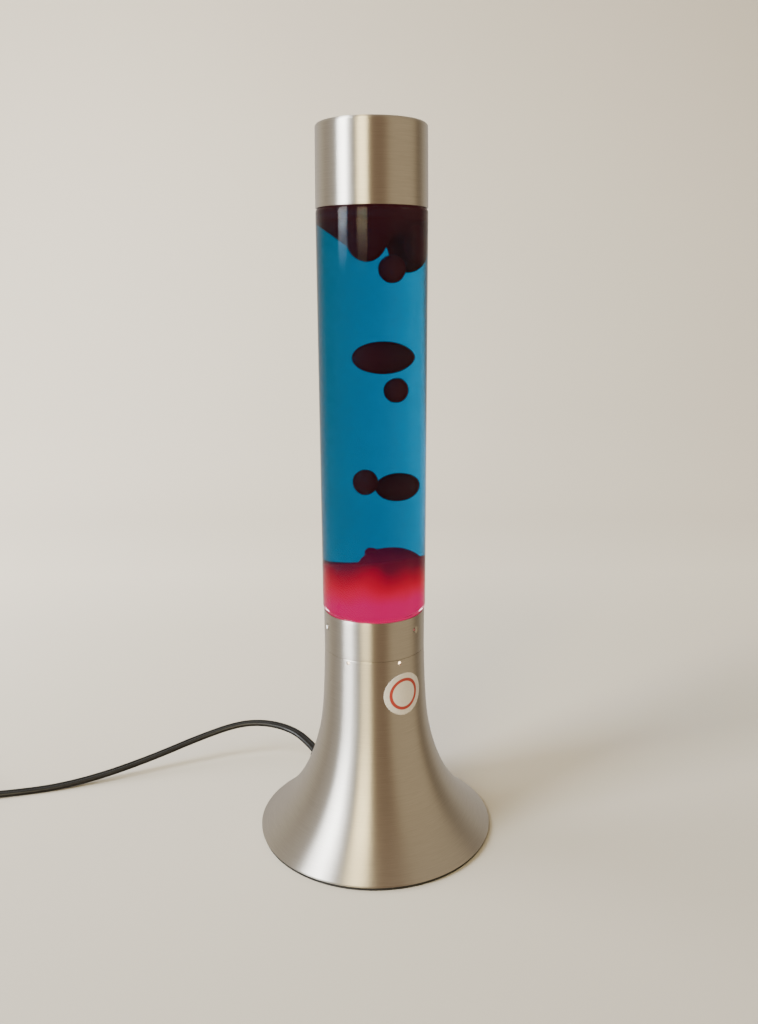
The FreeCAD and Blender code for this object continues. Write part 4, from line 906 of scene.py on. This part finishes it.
class LAMP_OT_cord(bpy.types.Operator):
    """Lay the flat twin cord from the base, through its switch, round its coil to the plug"""

    bl_idname = "lamp.cord"
    bl_label = "Cord"

    # The route, in millimetres: inside the base, out through the flare, down to the surface, through
    # the switch to the coil, and from the coil to the plug
    TO_COIL = (
        (-23.0, 29.5, 10.1), (-33.0, 42.3, 14.8), (-43.0, 56.7, 20.3), (-56.0, 69.6, 25.2),
        (-75.5, 76.7, 27.6), (-96.0, 78.2, 26.1), (-122.5, 72.0, 19.0), (-152.0, 60.0, 10.8),
        (-184.0, 46.5, 4.4), (-213.0, 36.0, 1.6), (-239.0, 29.5, 1.6), (-257.0, 25.2, 2.4),
        (-272.0, 21.4, 8.0), (-334.0, 5.9, 8.0), (-349.0, 1.2, 6.2), (-363.0, -6.8, 4.4),
    )
    TO_PLUG = ((-327.0, -82.8, 9.0), (-310.0, -81.5, 6.5), (-296.0, -82.5, 6.5))
    EXIT = (-34.5 * MM, 44.1 * MM, 15.5 * MM)
    LENGTH = 1.8
    COIL_CENTRE = (-354.0, -49.0)
    COIL_START = 125.0
    COIL_LOW = 3.8
    COIL_HIGH = 10.0
    CLIMB_TURNS = 0.35
    SPLINE_STEPS = 14
    # It turns on edge before the coil: the gap left, over what way, and how near the switch it may begin
    EDGE_GAP, EDGE_WAY, EDGE_FROM = 1 * MM, 17 * MM, 40 * MM
    # Each wire's round side in the section, in degrees, its steps, and the groove's share of the radius
    ROUND, ROUND_STEPS, GROOVE = 125, 12, 0.62
    ON_CORD = (
        "cord_ties", "plug_body", "plug_blades", "switch_base", "switch_cover", "rocker_pin",
        "switch_terminals", "switch_screws", "switch_rocker", "rocker_bridge", "cord_gland", "stitches",
        "rocker_ribs", "plug_ribs",
    )

    def coil_points(self):
        """Two layers of turns on edge: spiralling in on the surface, then out on top."""
        look = settings("lamp_cord")
        count = round(look.turns * look.turn_points)
        # A spline runs inside its points, so they lie a little further out
        outer = look.turn_radius / MM / math.cos(math.pi / look.turn_points)
        points = []
        for k in range(count + 1):
            turn = look.turns * k / count
            inward = min(turn, look.turns - turn)
            radius = outer - inward * look.turn_pitch / MM
            climb = (turn - (look.turns - self.CLIMB_TURNS) / 2) / self.CLIMB_TURNS
            rise = eased(climb)
            a = math.radians(self.COIL_START) + 2 * math.pi * turn
            x, y = (c + radius * f(a) for c, f in zip(self.COIL_CENTRE, (math.cos, math.sin)))
            points.append((x, y, self.COIL_LOW + (self.COIL_HIGH - self.COIL_LOW) * rise))
        return points

    def spline_line(self, points):
        """Points along the route's own smooth spline."""
        curve = bpy.data.curves.new("cord_route", "CURVE")
        curve.dimensions, curve.resolution_u = "3D", self.SPLINE_STEPS
        spline = curve.splines.new("NURBS")
        spline.points.add(len(points) - 1)
        for target, point in zip(spline.points, points):
            target.co = (*(c * MM for c in point), 1.0)
        spline.order_u = 3
        spline.use_endpoint_u = True
        route = put("cord_route", curve)
        depsgraph = bpy.context.evaluated_depsgraph_get()
        line = bpy.data.meshes.new_from_object(route.evaluated_get(depsgraph), depsgraph=depsgraph)
        found = [v.co.copy() for v in line.vertices]
        bpy.data.objects.remove(route)
        bpy.data.curves.remove(curve)
        bpy.data.meshes.remove(line)
        return found

    def section(self):
        """Two sheathed wires side by side, with a groove between them."""
        look = settings("lamp_cord")
        radius = look.thickness / 2
        offset = look.width / 2 - radius
        points = []
        for side in (1, -1):
            start = -self.ROUND if side > 0 else 180 - self.ROUND
            points += arc((side * offset, 0), radius, start, start + 2 * self.ROUND, self.ROUND_STEPS)
            points.append((0.0, side * self.GROOVE * radius))
        return points

    def execute(self, context):
        look = settings("lamp_cord")
        line = self.spline_line([*self.TO_COIL, *self.coil_points(), *self.TO_PLUG])
        centre = Vector((*(c * MM for c in self.COIL_CENTRE), 0))
        section = self.section()
        bm = bmesh.new()
        rings = []
        switch_end = Vector(self.TO_COIL[-3]) * MM
        for k, point in enumerate(line):
            along = (line[min(k + 1, len(line) - 1)] - line[max(k - 1, 0)]).normalized()
            side = Vector((0, 0, 1)).cross(along).normalized()
            upright = along.cross(side).normalized()
            distance = (Vector((point.x, point.y, 0)) - centre).length
            away = max(0.0, distance - look.turn_radius - self.EDGE_GAP)
            near = 1 - away / self.EDGE_WAY if point.x < switch_end.x + self.EDGE_FROM else 0.0
            roll = math.pi / 2 * eased(near)
            across = side * math.cos(roll) + upright * math.sin(roll)
            normal = along.cross(across).normalized()
            rings.append([bm.verts.new(point + across * x + normal * y) for x, y in section])
        count = len(section)
        for here, there in zip(rings, rings[1:]):
            for k in range(count):
                n = (k + 1) % count
                bm.faces.new((here[k], here[n], there[n], there[k]))
        bm.faces.new(rings[0][::-1])
        bm.faces.new(rings[-1])
        bmesh.ops.recalc_face_normals(bm, faces=bm.faces)
        cord = new_piece("flat_cord", bm, 50)
        nodes = ("cord_lamp_side", "cord_coil_side", "cord_coil", "cord_tail")
        dress(cord, finish("cord_sheath"), "base", nodes)
        return {"FINISHED"}


# Metal


class LAMP_OT_base(bpy.types.Operator):
    """Spin the trumpet base and its collar"""

    bl_idname = "lamp.base"
    bl_label = "Base"

    HEM = 1.2 * MM
    HEM_RETURN = 3.5 * MM
    WALL = 1.0 * MM
    SPIGOT_STEP = 0.9 * MM
    FLANGE = 23.0 * MM
    RIM_LEAN, NECK_LEAN = -1.263, -0.02
    EDGE = 0.5 * MM
    # The flare's outline: share of its height, and share of its spread beyond the neck
    FLARE = (
        (0.0, 1.0), (0.061, 0.801), (0.149, 0.568), (0.281, 0.332), (0.414, 0.183), (0.591, 0.067),
        (0.767, 0.0232), (1.0, 0.0),
    )
    VENT_RADIUS = 1.1 * MM
    VENT_DROP = 1.9 * MM
    VENT_COUNT = 6
    VENT_FIRST = -60.3
    CORD_WAY = (128.0, 16.0)
    CORD_HOLE = 5.25 * MM
    DIMPLE_COUNT = 3
    DIMPLE_FIRST = -156.0
    DIMPLE_RADIUS = 3.2 * MM
    DIMPLE_DEPTH = 1.0 * MM
    DIMPLE_HEIGHT = 14.9 * MM
    DIMPLE_HOLE = 0.9 * MM
    COLLAR_WALL = 0.85 * MM

    def flare(self, samples=72):
        """The flare's outside from the rim up to the step."""
        foot = low("base_shell").z + self.HEM
        height, spread = STEP_Z - foot, RIM_RADIUS - COLLAR_RADIUS
        points = [(foot + height * h, COLLAR_RADIUS + spread * w) for h, w in self.FLARE]
        return [(r, z) for z, r in cubic_through(points, self.RIM_LEAN, self.NECK_LEAN, samples)]

    def execute(self, context):
        shell = spun("trumpet_base", self.outline())
        reach = Vector((4 * MM, 0, 0))
        drill = rod("drill", -reach, reach, self.VENT_RADIUS, 28)
        place = (COLLAR_RADIUS, 0, STEP_Z - self.VENT_DROP)
        count = self.VENT_COUNT
        vents = repeated("vents", drill, count, place, first=self.VENT_FIRST, turn=360 / count)
        way, out = azimuth(*self.CORD_WAY) * 10 * MM, Vector(LAMP_OT_cord.EXIT)
        cord_hole = rod("cord_hole", out - way, out + way, self.CORD_HOLE, 40)
        cut(shell, [vents, cord_hole])
        dress(shell, finish("brushed_aluminium"), "base", ("base_shell",))
        self.collar()
        return {"FINISHED"}

    def outline(self):
        """The shell's section: rim, flare, step, spigot and flange outside, then back down inside."""
        wall, edge = self.WALL, self.EDGE
        foot, top = low("base_shell").z, high("base_shell").z
        spigot = COLLAR_RADIUS - self.SPIGOT_STEP
        under = RIM_RADIUS - self.HEM_RETURN
        step = arc((COLLAR_RADIUS - edge, STEP_Z - edge), edge, 0, 90, 5)
        body = [p for p in self.flare() if p[1] < STEP_Z - edge]
        inside = [(r - wall * 1.1, z - wall * 0.2) for r, z in body if r - wall * 1.1 < under]
        return [
            (RIM_RADIUS - 0.35 * MM, foot), (RIM_RADIUS - 0.1 * MM, foot + 0.1 * MM),
            (RIM_RADIUS, foot + 0.35 * MM), *body, *step, (spigot, STEP_Z), (spigot, top - 0.4 * MM),
            (spigot - 0.4 * MM, top), (self.FLANGE, top), (self.FLANGE, top - wall),
            (spigot - wall, top - wall), (spigot - wall, STEP_Z - 2 * wall), *reversed(inside),
            (under, inside[0][1] - 0.4 * MM), (under, foot),
        ]

    def collar(self):
        """A sleeve with bosses inside where its dimples are pressed in and drilled."""
        wall, edge, lip = self.COLLAR_WALL, self.EDGE, 0.25 * MM
        inner = COLLAR_RADIUS - wall
        side = COLLAR_TOP - STEP_Z - 2 * edge
        outline = [
            (inner, STEP_Z), *arc((COLLAR_RADIUS - edge, STEP_Z + edge), edge, -90, 0, 5),
            *[(COLLAR_RADIUS, STEP_Z + edge + side * k / 8) for k in range(1, 8)],
            *arc((COLLAR_RADIUS - lip, COLLAR_TOP - lip), lip, 0, 90, 4), (inner, COLLAR_TOP),
        ]
        sleeve = spun("bottle_collar", outline)
        reach = inner + 0.05 * MM
        keep = spun("keep", [(0, STEP_Z), (reach, STEP_Z), (reach, COLLAR_TOP), (0, COLLAR_TOP)], 96)
        bosses = cut(self.dimples("bosses", self.DIMPLE_RADIUS + wall), [keep], "INTERSECT")
        cut(sleeve, [bosses], "UNION")
        holes = self.dimples("holes", self.DIMPLE_HOLE, 8 * MM)
        cut(sleeve, [self.dimples("bowls", self.DIMPLE_RADIUS), holes])
        dress(sleeve, finish("brushed_aluminium"), "base", ("collar",))

    def dimples(self, name, radius, depth=None):
        """A ball at each dimple of the collar, or a bar inwards from its middle."""
        if depth:
            shape = rod("bar", (-depth, 0, 0), (0, 0, 0), radius, 20)
        else:
            shape = ball("ball", (0, 0, 0), [radius] * 3, 4)
        count = self.DIMPLE_COUNT
        place = (COLLAR_RADIUS - self.DIMPLE_DEPTH + self.DIMPLE_RADIUS, 0, STEP_Z + self.DIMPLE_HEIGHT)
        return repeated(name, shape, count, place, first=self.DIMPLE_FIRST, turn=360 / count)


class LAMP_OT_cap(bpy.types.Operator):
    """Spin the cap with its rounded top edge"""

    bl_idname = "lamp.cap"
    bl_label = "Cap"

    ROUND = 2.0 * MM
    WALL = 0.9 * MM
    TOP_RADIUS = 29.5 * MM

    def execute(self, context):
        bottom, top, wall = high("cap_shell").x, self.TOP_RADIUS, self.WALL
        flat = top - self.ROUND
        centre = (flat, CAP_TOP - self.ROUND)
        sides = [(bottom + (top - bottom) * k / 8, CAP_Z + (centre[1] - CAP_Z) * k / 8) for k in range(1, 8)]
        lids = [flat * (1 - k / 12) for k in range(1, 12)]
        inner_top, edge = CAP_TOP - wall, 0.15 * MM
        outline = [
            (bottom - wall, CAP_Z), (bottom - edge, CAP_Z), (bottom, CAP_Z + edge), *sides,
            *arc(centre, self.ROUND, 0, 90, 10), *[(r, CAP_TOP) for r in lids], (0, CAP_TOP),
            (0, inner_top), *[(r, inner_top) for r in reversed(lids[::2])],
            *arc(centre, self.ROUND - wall, 90, 0, 5), (bottom - wall, CAP_Z + 1 * MM),
        ]
        cap = spun("bottle_cap", outline)
        dress(cap, finish("brushed_aluminium"), "cap", ("cap_shell",))
        return {"FINISHED"}


# Bottle, liquid and wax


PUNT_RADIUS, PUNT_RISE = 21 * MM, 3 * MM
HEEL_Z = COLLAR_TOP + 2.91 * MM


def bottle_foot(z, foot):
    """The domed punt and the rounded edge of the foot, from the middle outwards."""
    punt = [(PUNT_RADIUS * k / 6, z + PUNT_RISE * (1 - (k / 6) ** 2)) for k in range(7)]
    turn = 2.5 * MM
    return [*punt, *arc((foot - turn, z + turn), turn, -90, 0, 6)]


def bottle_side(r, top):
    """The straight side, from above the heel to below a level."""
    return [(r, HEEL_Z + (top - HEEL_Z) * k / 24) for k in range(1, 24)]


def above(r, z, *steps):
    """Points by their steps in millimetres out from a radius and up from a level."""
    return [(r + out * MM, z + up * MM) for out, up in steps]


def bottle_outer():
    """The bottle's outside, from under its foot up to its lip."""
    r, foot, shoulder = BOTTLE_RADIUS, 26.9 * MM, CAP_Z + 0.3 * MM
    mouth, lip, turn = 12.5 * MM, 13.3 * MM, 2.5 * MM
    return [
        *bottle_foot(BOTTLE_Z, foot), (foot, HEEL_Z - 3 * MM),
        *arc((r - 3 * MM, HEEL_Z), 3 * MM, -88, 0, 10),
        *bottle_side(r, shoulder - turn), *arc((r - turn, shoulder - turn), turn, 0, 80, 8),
        *above(mouth, shoulder, (4, 5), (1.6, 6.0), (0.4, 7.8), (0, 9.5)), (mouth, MOUTH_Z - 6.1 * MM),
        *above(lip, MOUTH_Z, (0, -5.3), (0, -1), (-0.3, -0.3), (-1, 0)),
    ]


def bottle_inner(grow=0.0, level=None):
    """The bottle's inside from the floor's middle up to its mouth or to a level."""
    r, z = BOTTLE_RADIUS - 2 * MM + grow, BOTTLE_Z + 3 * MM - grow
    foot, shoulder = 24.7 * MM + grow, CAP_Z - 1.7 * MM + grow
    bore, turn = 9.0 * MM + grow, 1.5 * MM
    points = [
        *bottle_foot(z, foot), *above(foot, HEEL_Z, (0, -2.4), (0.7, -1.9)),
        *above(r, HEEL_Z, (-0.9, -1.0), (-0.2, 0), (0, 1.2)), *bottle_side(r, shoulder - turn),
        *arc((r - turn, shoulder - turn), turn, 0, 78, 5),
        *above(bore, shoulder, (5, 4.4), (2.6, 5.4), (0.6, 7.4), (0, 10)),
    ]
    if level is None:
        return [*points, (bore, MOUTH_Z)]
    below = [p for p in points if p[1] < level]
    (r0, z0), (r1, z1) = below[-1], points[len(below)]
    edge = r0 + (r1 - r0) * (level - z0) / (z1 - z0)
    return [*below, (edge, level), (0, level)]


class LAMP_OT_bottle(bpy.types.Operator):
    """Blow the glass bottle and fill it with liquid"""

    bl_idname = "lamp.bottle"
    bl_label = "Bottle"

    OVERLAP = 0.03 * MM

    def execute(self, context):
        glass = spun("glass_bottle", [*bottle_outer(), *reversed(bottle_inner())], 192, 50)
        dress(glass, finish("clear_glass"), "bottle", ("bottle_glass",))
        level = settings("lamp_liquid").level
        filling = spun("dyed_liquid", bottle_inner(self.OVERLAP, level), 192, 60)
        dress(filling, finish("blue_liquid"), "bottle", ("liquid",))
        merged_copy("crown_closure", finish("crown_metal"))
        finish_node("closure_liner", finish("liner_plastic"))
        return {"FINISHED"}


def flowing(name, shapes, voxel, passes):
    """Shapes merged into one soft mass, with their creases relaxed in so many passes."""
    bm = bmesh.new()
    for shape in shapes:
        bm.from_mesh(shape.data)
        bpy.data.objects.remove(shape)
    piece = new_piece(name, bm, SMOOTH)
    merge = piece.modifiers.new("merge", "REMESH")
    merge.mode, merge.voxel_size, merge.use_smooth_shade = "VOXEL", voxel, True
    return relaxed(piece, passes)


def relaxed(piece, passes):
    """The piece with its surface evened in so many passes."""
    relax = piece.modifiers.new("relax", "SMOOTH")
    relax.factor, relax.iterations = 0.5, passes
    return evaluated(piece)


def lump(name, place, detail):
    """A soft ball from its centre and half-widths in millimetres."""
    centre, radii = ([c * MM for c in part] for part in place)
    return ball(name, centre, radii, detail)


class LAMP_OT_wax(bpy.types.Operator):
    """Form the wax: the pool with its mound, the mass under the shoulder and the free blobs"""

    bl_idname = "lamp.wax"
    bl_label = "Wax"

    POOL_TOP = COLLAR_TOP + 29.4 * MM
    POOL_TILT = 13.0
    POOL_HIGH_SIDE = -67.0
    FILM = 0.4 * MM
    # Centre and half-widths in millimetres
    MOUND = (
        ((7.0, 0.0, 166.0), (14.5, 13.5, 13.2)), ((0.2, -0.6, 172.5), (4.6, 5.0, 5.0)),
        ((-1.2, -1.0, 176.6), (3.0, 3.0, 3.2)),
    )
    LOBES = (
        ((-2.3, -5.0, 349.5), (9.2, 9.5, 13.1)), ((14.2, 4.0, 348.0), (8.8, 10.0, 17.2)),
        ((20.6, -8.0, 345.2), (6.2, 6.4, 10.4)),
    )
    BLOBS = {
        "oval": ((10.8, -2.0, 214.8), (10.1, 9.0, 8.0)),
        "top": ((9.4, -15.0, 332.9), (6.6, 6.6, 7.1)),
        "small": ((11.4, -15.0, 270.0), (6.3, 6.3, 6.6)),
        "ball": ((-3.8, -15.0, 219.9), (6.2, 6.2, 7.1)),
    }
    # The slab under the shoulder: its bottom and top below the cap's edge, and its gap to the glass's outside
    SLAB_BOTTOM, SLAB_TOP, SLAB_GAP = 6.7 * MM, 2.0 * MM, 2.2 * MM
    SLOPE_DEPTH = 12.3 * MM
    # The lens-shaped blob: middle, left end from it, length, half height, and how blunt its two halves are
    LENS_CENTRE = (4.3, 0.0, 286.5)
    LENS_LEFT, LENS_LENGTH, LENS_HALF = -12.9 * MM, 26.5 * MM, 8.8 * MM
    LENS_STEPS, LENS_BLUNT, LENS_POINTED = 48, 0.92, 1.18

    def execute(self, context):
        look = settings("lamp_wax")
        self.pool(look)
        self.ceiling(look)
        for name, place in self.BLOBS.items():
            self.dress_red(lump(f"wax_{name}", place, 5), f"blob_{name}", f"wax_blob_{name}")
        self.lens()
        return {"FINISHED"}

    def dress_red(self, piece, body, node):
        """Keeps with each vertex how squarely it faces away from the axis, for the painted shade on the wax's
        rims.
        """
        facing = piece.data.attributes.new("facing", "FLOAT", "POINT")
        for v in piece.data.vertices:
            outward = Vector((v.co.x, v.co.y, 0.0)).normalized()
            facing.data[v.index].value = abs(v.normal.dot(outward))
        dress(piece, finish("red_wax"), body, (node,))

    def pool(self, look):
        """The settled wax, whose surface stands higher on one side, with its mound."""
        base = spun("base", bottle_inner(-self.FILM, self.POOL_TOP + 12 * MM), 96, SMOOTH)
        wide = 60 * MM
        block = spun("block", [(0, -wide), (wide, -wide), (wide, 0), (0, 0)], 96, SMOOTH)
        axis = azimuth(self.POOL_HIGH_SIDE + 90)
        tilt = Matrix.Rotation(math.radians(-self.POOL_TILT), 4, axis)
        block.data.transform(Matrix.Translation((0, 0, self.POOL_TOP)) @ tilt)
        cut(base, [block], "INTERSECT")
        mound = [lump("lump", place, 4) for place in self.MOUND]
        mass = flowing("wax_pool_lit", [base, *mound], look.voxel, 8)
        dress(mass, finish("pool_wax"), "bottle", ("wax_pool",))

    def ceiling(self, look):
        """The wax under the shoulder: a slab that nearly fills the bottle, a slope and hanging lobes."""
        bottom, shoulder = CAP_Z - self.SLAB_BOTTOM, CAP_Z - self.SLAB_TOP
        r = BOTTLE_RADIUS - self.SLAB_GAP
        top, edge = shoulder + 3.8 * MM, 1.2 * MM
        slab = spun("slab", [
            (0, bottom), (r - 1 * MM, bottom), (r, bottom + 1 * MM), (r, shoulder - edge),
            (r - edge, shoulder), (14.0 * MM, top), (0, top),
        ], 96)
        tip, root = bottom - self.SLOPE_DEPTH, bottom + 1 * MM
        slope = spun("slope", [(0, tip), (7.9 * MM, tip), (21.5 * MM, root), (0, root)], 96)
        slope.data.transform(Matrix.Translation((-3.0 * MM, 0, 0)))
        lobes = [lump("lump", place, 4) for place in self.LOBES]
        mass = flowing("wax_under_shoulder", [slab, slope, *lobes], look.voxel, 50)
        for v in mass.data.vertices:
            distance = math.hypot(v.co.x, v.co.y)
            if distance > r:
                v.co.x, v.co.y = v.co.x * r / distance, v.co.y * r / distance
        self.dress_red(relaxed(mass, 8), "bottle", "wax_ceiling")

    def lens(self):
        """The lens-shaped blob, blunt at the left end and pointed at the right, round about the X axis."""
        outline = []
        for k in range(self.LENS_STEPS + 1):
            t = math.pi * k / self.LENS_STEPS
            blunt = self.LENS_BLUNT if t < math.pi / 2 else self.LENS_POINTED
            along = self.LENS_LEFT + self.LENS_LENGTH * (1 - math.cos(t)) / 2
            outline.append((self.LENS_HALF * abs(math.sin(t)) ** blunt, along))
        outline[0], outline[-1] = (0.0, outline[0][1]), (0.0, outline[-1][1])
        blob = spun("wax_lens", outline, 72, SMOOTH)
        place = Matrix.Translation(Vector(self.LENS_CENTRE) * MM)
        blob.data.transform(place @ Matrix.Rotation(math.pi / 2, 4, "Y"))
        self.dress_red(blob, "blob_lens", "wax_blob_lens")


class LAMP_OT_details(bpy.types.Operator):
    """Sew the ties' stitches and raise the ribs of the rocker and the plug"""

    bl_idname = "lamp.details"
    bl_label = "Details"

    STITCHES, STITCH_START, STITCH_PITCH = 7, 26.6 * MM, 2.1 * MM
    STITCH_SIDE, STITCH_HALF, STITCH_RADIUS = 3.8 * MM, 0.85 * MM, 0.22 * MM
    TIE_TOP = 14.0 * MM
    SWITCH_MIDDLE = (-303.0 * MM, 13.65 * MM)
    SWITCH_HEADING = 194.04
    ROCKER_AXIS = 12.0 * MM
    ROCKER_TILT = -9.0
    ROCKER_MIDDLE = 18.1 * MM
    ROCKER_SLOPE = 0.13
    ROCKER_RIBS, ROCKER_START, ROCKER_PITCH = 4, 2.4 * MM, 1.25 * MM
    ROCKER_HALF, ROCKER_RADIUS = 4.2 * MM, 0.28 * MM
    PLUG_START = (-303.38 * MM, -81.97 * MM)
    PLUG_HEADING = -4.09
    PLUG_LEVEL = 6.5 * MM
    PLUG_RIBS, PLUG_FIRST, PLUG_PITCH = 5, 20.5 * MM, 2.75 * MM
    PLUG_SIDE, PLUG_HALF, PLUG_RADIUS = 12.0 * MM, 4.2 * MM, 0.4 * MM

    def execute(self, context):
        self.stitches()
        self.rocker_ribs()
        self.plug_ribs()
        return {"FINISHED"}

    def stitches(self):
        """Two rows of stitches along the top of each strap."""
        half, top = self.STITCH_HALF, self.TIE_TOP
        sides = (-self.STITCH_SIDE, self.STITCH_SIDE)
        pair = bars("pair", [((-half, y, top), (half, y, top)) for y in sides], self.STITCH_RADIUS, 10)
        rows = repeated("rows", pair, self.STITCHES, (self.STITCH_START, 0, 0), (self.STITCH_PITCH, 0, 0))
        sewn = repeated("stitches", rows, 2, turn=180, finish=finish("stitch_thread"))
        sewn.data.transform(Matrix.Translation((*(c * MM for c in LAMP_OT_cord.COIL_CENTRE), 0)))
        dress(sewn, finish("stitch_thread"), "base")

    def rocker_ribs(self):
        """Ribs across both slopes of the rocker, tilted with it."""
        half, first, pitch = self.ROCKER_HALF, self.ROCKER_START, self.ROCKER_PITCH
        bar = bars("bar", [((0, -half, 0), (0, half, 0))], self.ROCKER_RADIUS, 14)
        start = (first, 0, self.ROCKER_MIDDLE + self.ROCKER_SLOPE * first)
        slope = repeated("slope", bar, self.ROCKER_RIBS, start, (pitch, 0, self.ROCKER_SLOPE * pitch))
        ribs = repeated("rocker_ribs", slope, 2, turn=180, finish=finish("black_plastic"))
        axis = Matrix.Translation((0, 0, self.ROCKER_AXIS))
        tilt = axis @ Matrix.Rotation(math.radians(self.ROCKER_TILT), 4, "Y") @ axis.inverted()
        turn = Matrix.Rotation(math.radians(self.SWITCH_HEADING), 4, "Z")
        ribs.data.transform(Matrix.Translation((*self.SWITCH_MIDDLE, 0)) @ turn @ tilt)
        dress(ribs, finish("black_plastic"), "rocker")

    def plug_ribs(self):
        """Upright grip ribs on both sides of the plug."""
        bottom, top = self.PLUG_LEVEL - self.PLUG_HALF, self.PLUG_LEVEL + self.PLUG_HALF
        sides = (-self.PLUG_SIDE, self.PLUG_SIDE)
        pair = bars("pair", [((0, y, bottom), (0, y, top)) for y in sides], self.PLUG_RADIUS, 14)
        start, step = (self.PLUG_FIRST, 0, 0), (self.PLUG_PITCH, 0, 0)
        ribs = repeated("plug_ribs", pair, self.PLUG_RIBS, start, step, finish=finish("black_plastic"))
        turn = Matrix.Rotation(math.radians(self.PLUG_HEADING), 4, "Z")
        ribs.data.transform(Matrix.Translation((*self.PLUG_START, 0)) @ turn)
        dress(ribs, finish("black_plastic"), "base")


class LAMP_OT_fittings(bpy.types.Operator):
    """Finish the fittings: foot, cover, screws, lampholder, bulb, switch, plug and label"""

    bl_idname = "lamp.fittings"
    bl_label = "Fittings"

    FINISHES = {
        "foot_rubber": ("foot_ring",),
        "heat_proof_ring": ("seat_ring",),
        "black_plastic": (
            "bottom_cover", "cord_clamp", "cap_insert", "bulb_insulator", "switch_base", "switch_cover",
            "switch_rocker", "plug_body",
        ),
        "black_rubber": ("cord_gland",),
        "plated_steel": (
            "cover_screws", "holder_bracket", "holder_nipple", "nipple_nut", "clamp_screws", "rocker_pin",
            "switch_screws", "wire_coil",
        ),
        "holder_plastic": ("lampholder_base", "lampholder_skirt"),
        "ceramic": ("lampholder_core",),
        "contact_brass": (
            "lampholder_sleeve", "centre_contact", "holder_terminals", "plug_blades", "switch_terminals",
            "rocker_bridge",
        ),
        "lead_insulation": ("lead_live", "lead_neutral"),
        "bulb_cap_metal": ("bulb_contact", "bulb_cap"),
        "bulb_glass": ("bulb_envelope", "bulb_stem"),
        "filament": ("bulb_filament",),
        "tie_fabric": ("cord_ties",),
        "label_print": ("label_disc",),
    }

    def execute(self, context):
        for name, nodes in self.FINISHES.items():
            for node in nodes:
                finish_node(node, finish(name))
        return {"FINISHED"}


class LAMP_PT_panel(bpy.types.Panel):
    """The lamp's pieces and their settings"""

    bl_label = "Liquid motion lamp"
    bl_idname = "LAMP_PT_panel"
    bl_space_type = "VIEW_3D"
    bl_region_type = "UI"
    bl_category = "Lamp"

    def draw(self, context):
        for operator in OPERATORS:
            self.layout.operator(operator.bl_idname)
        for name, group in GROUPS.items():
            box = self.layout.box()
            for key in group.__annotations__:
                box.prop(getattr(context.scene, name), key)


GROUPS = {
    "lamp_metal": LampMetal,
    "lamp_liquid": LampLiquid,
    "lamp_wax": LampWax,
    "lamp_cord": LampCord,
    "lamp_stage": LampStage,
}
OPERATORS = (
    LAMP_OT_camera, LAMP_OT_stage, LAMP_OT_details, LAMP_OT_cord, LAMP_OT_base, LAMP_OT_cap, LAMP_OT_bottle,
    LAMP_OT_wax, LAMP_OT_fittings,
)


def register():
    for cls in (*GROUPS.values(), *OPERATORS, LAMP_PT_panel):
        bpy.utils.register_class(cls)
    for name, group in GROUPS.items():
        setattr(bpy.types.Scene, name, PointerProperty(type=group))


def unregister():
    for name in GROUPS:
        delattr(bpy.types.Scene, name)
    for cls in reversed((*GROUPS.values(), *OPERATORS, LAMP_PT_panel)):
        bpy.utils.unregister_class(cls)


def main():
    register()
    for operator in OPERATORS:
        group, name = operator.bl_idname.split(".")
        getattr(getattr(bpy.ops, group), name)()


if __name__ == "__main__":
    main()
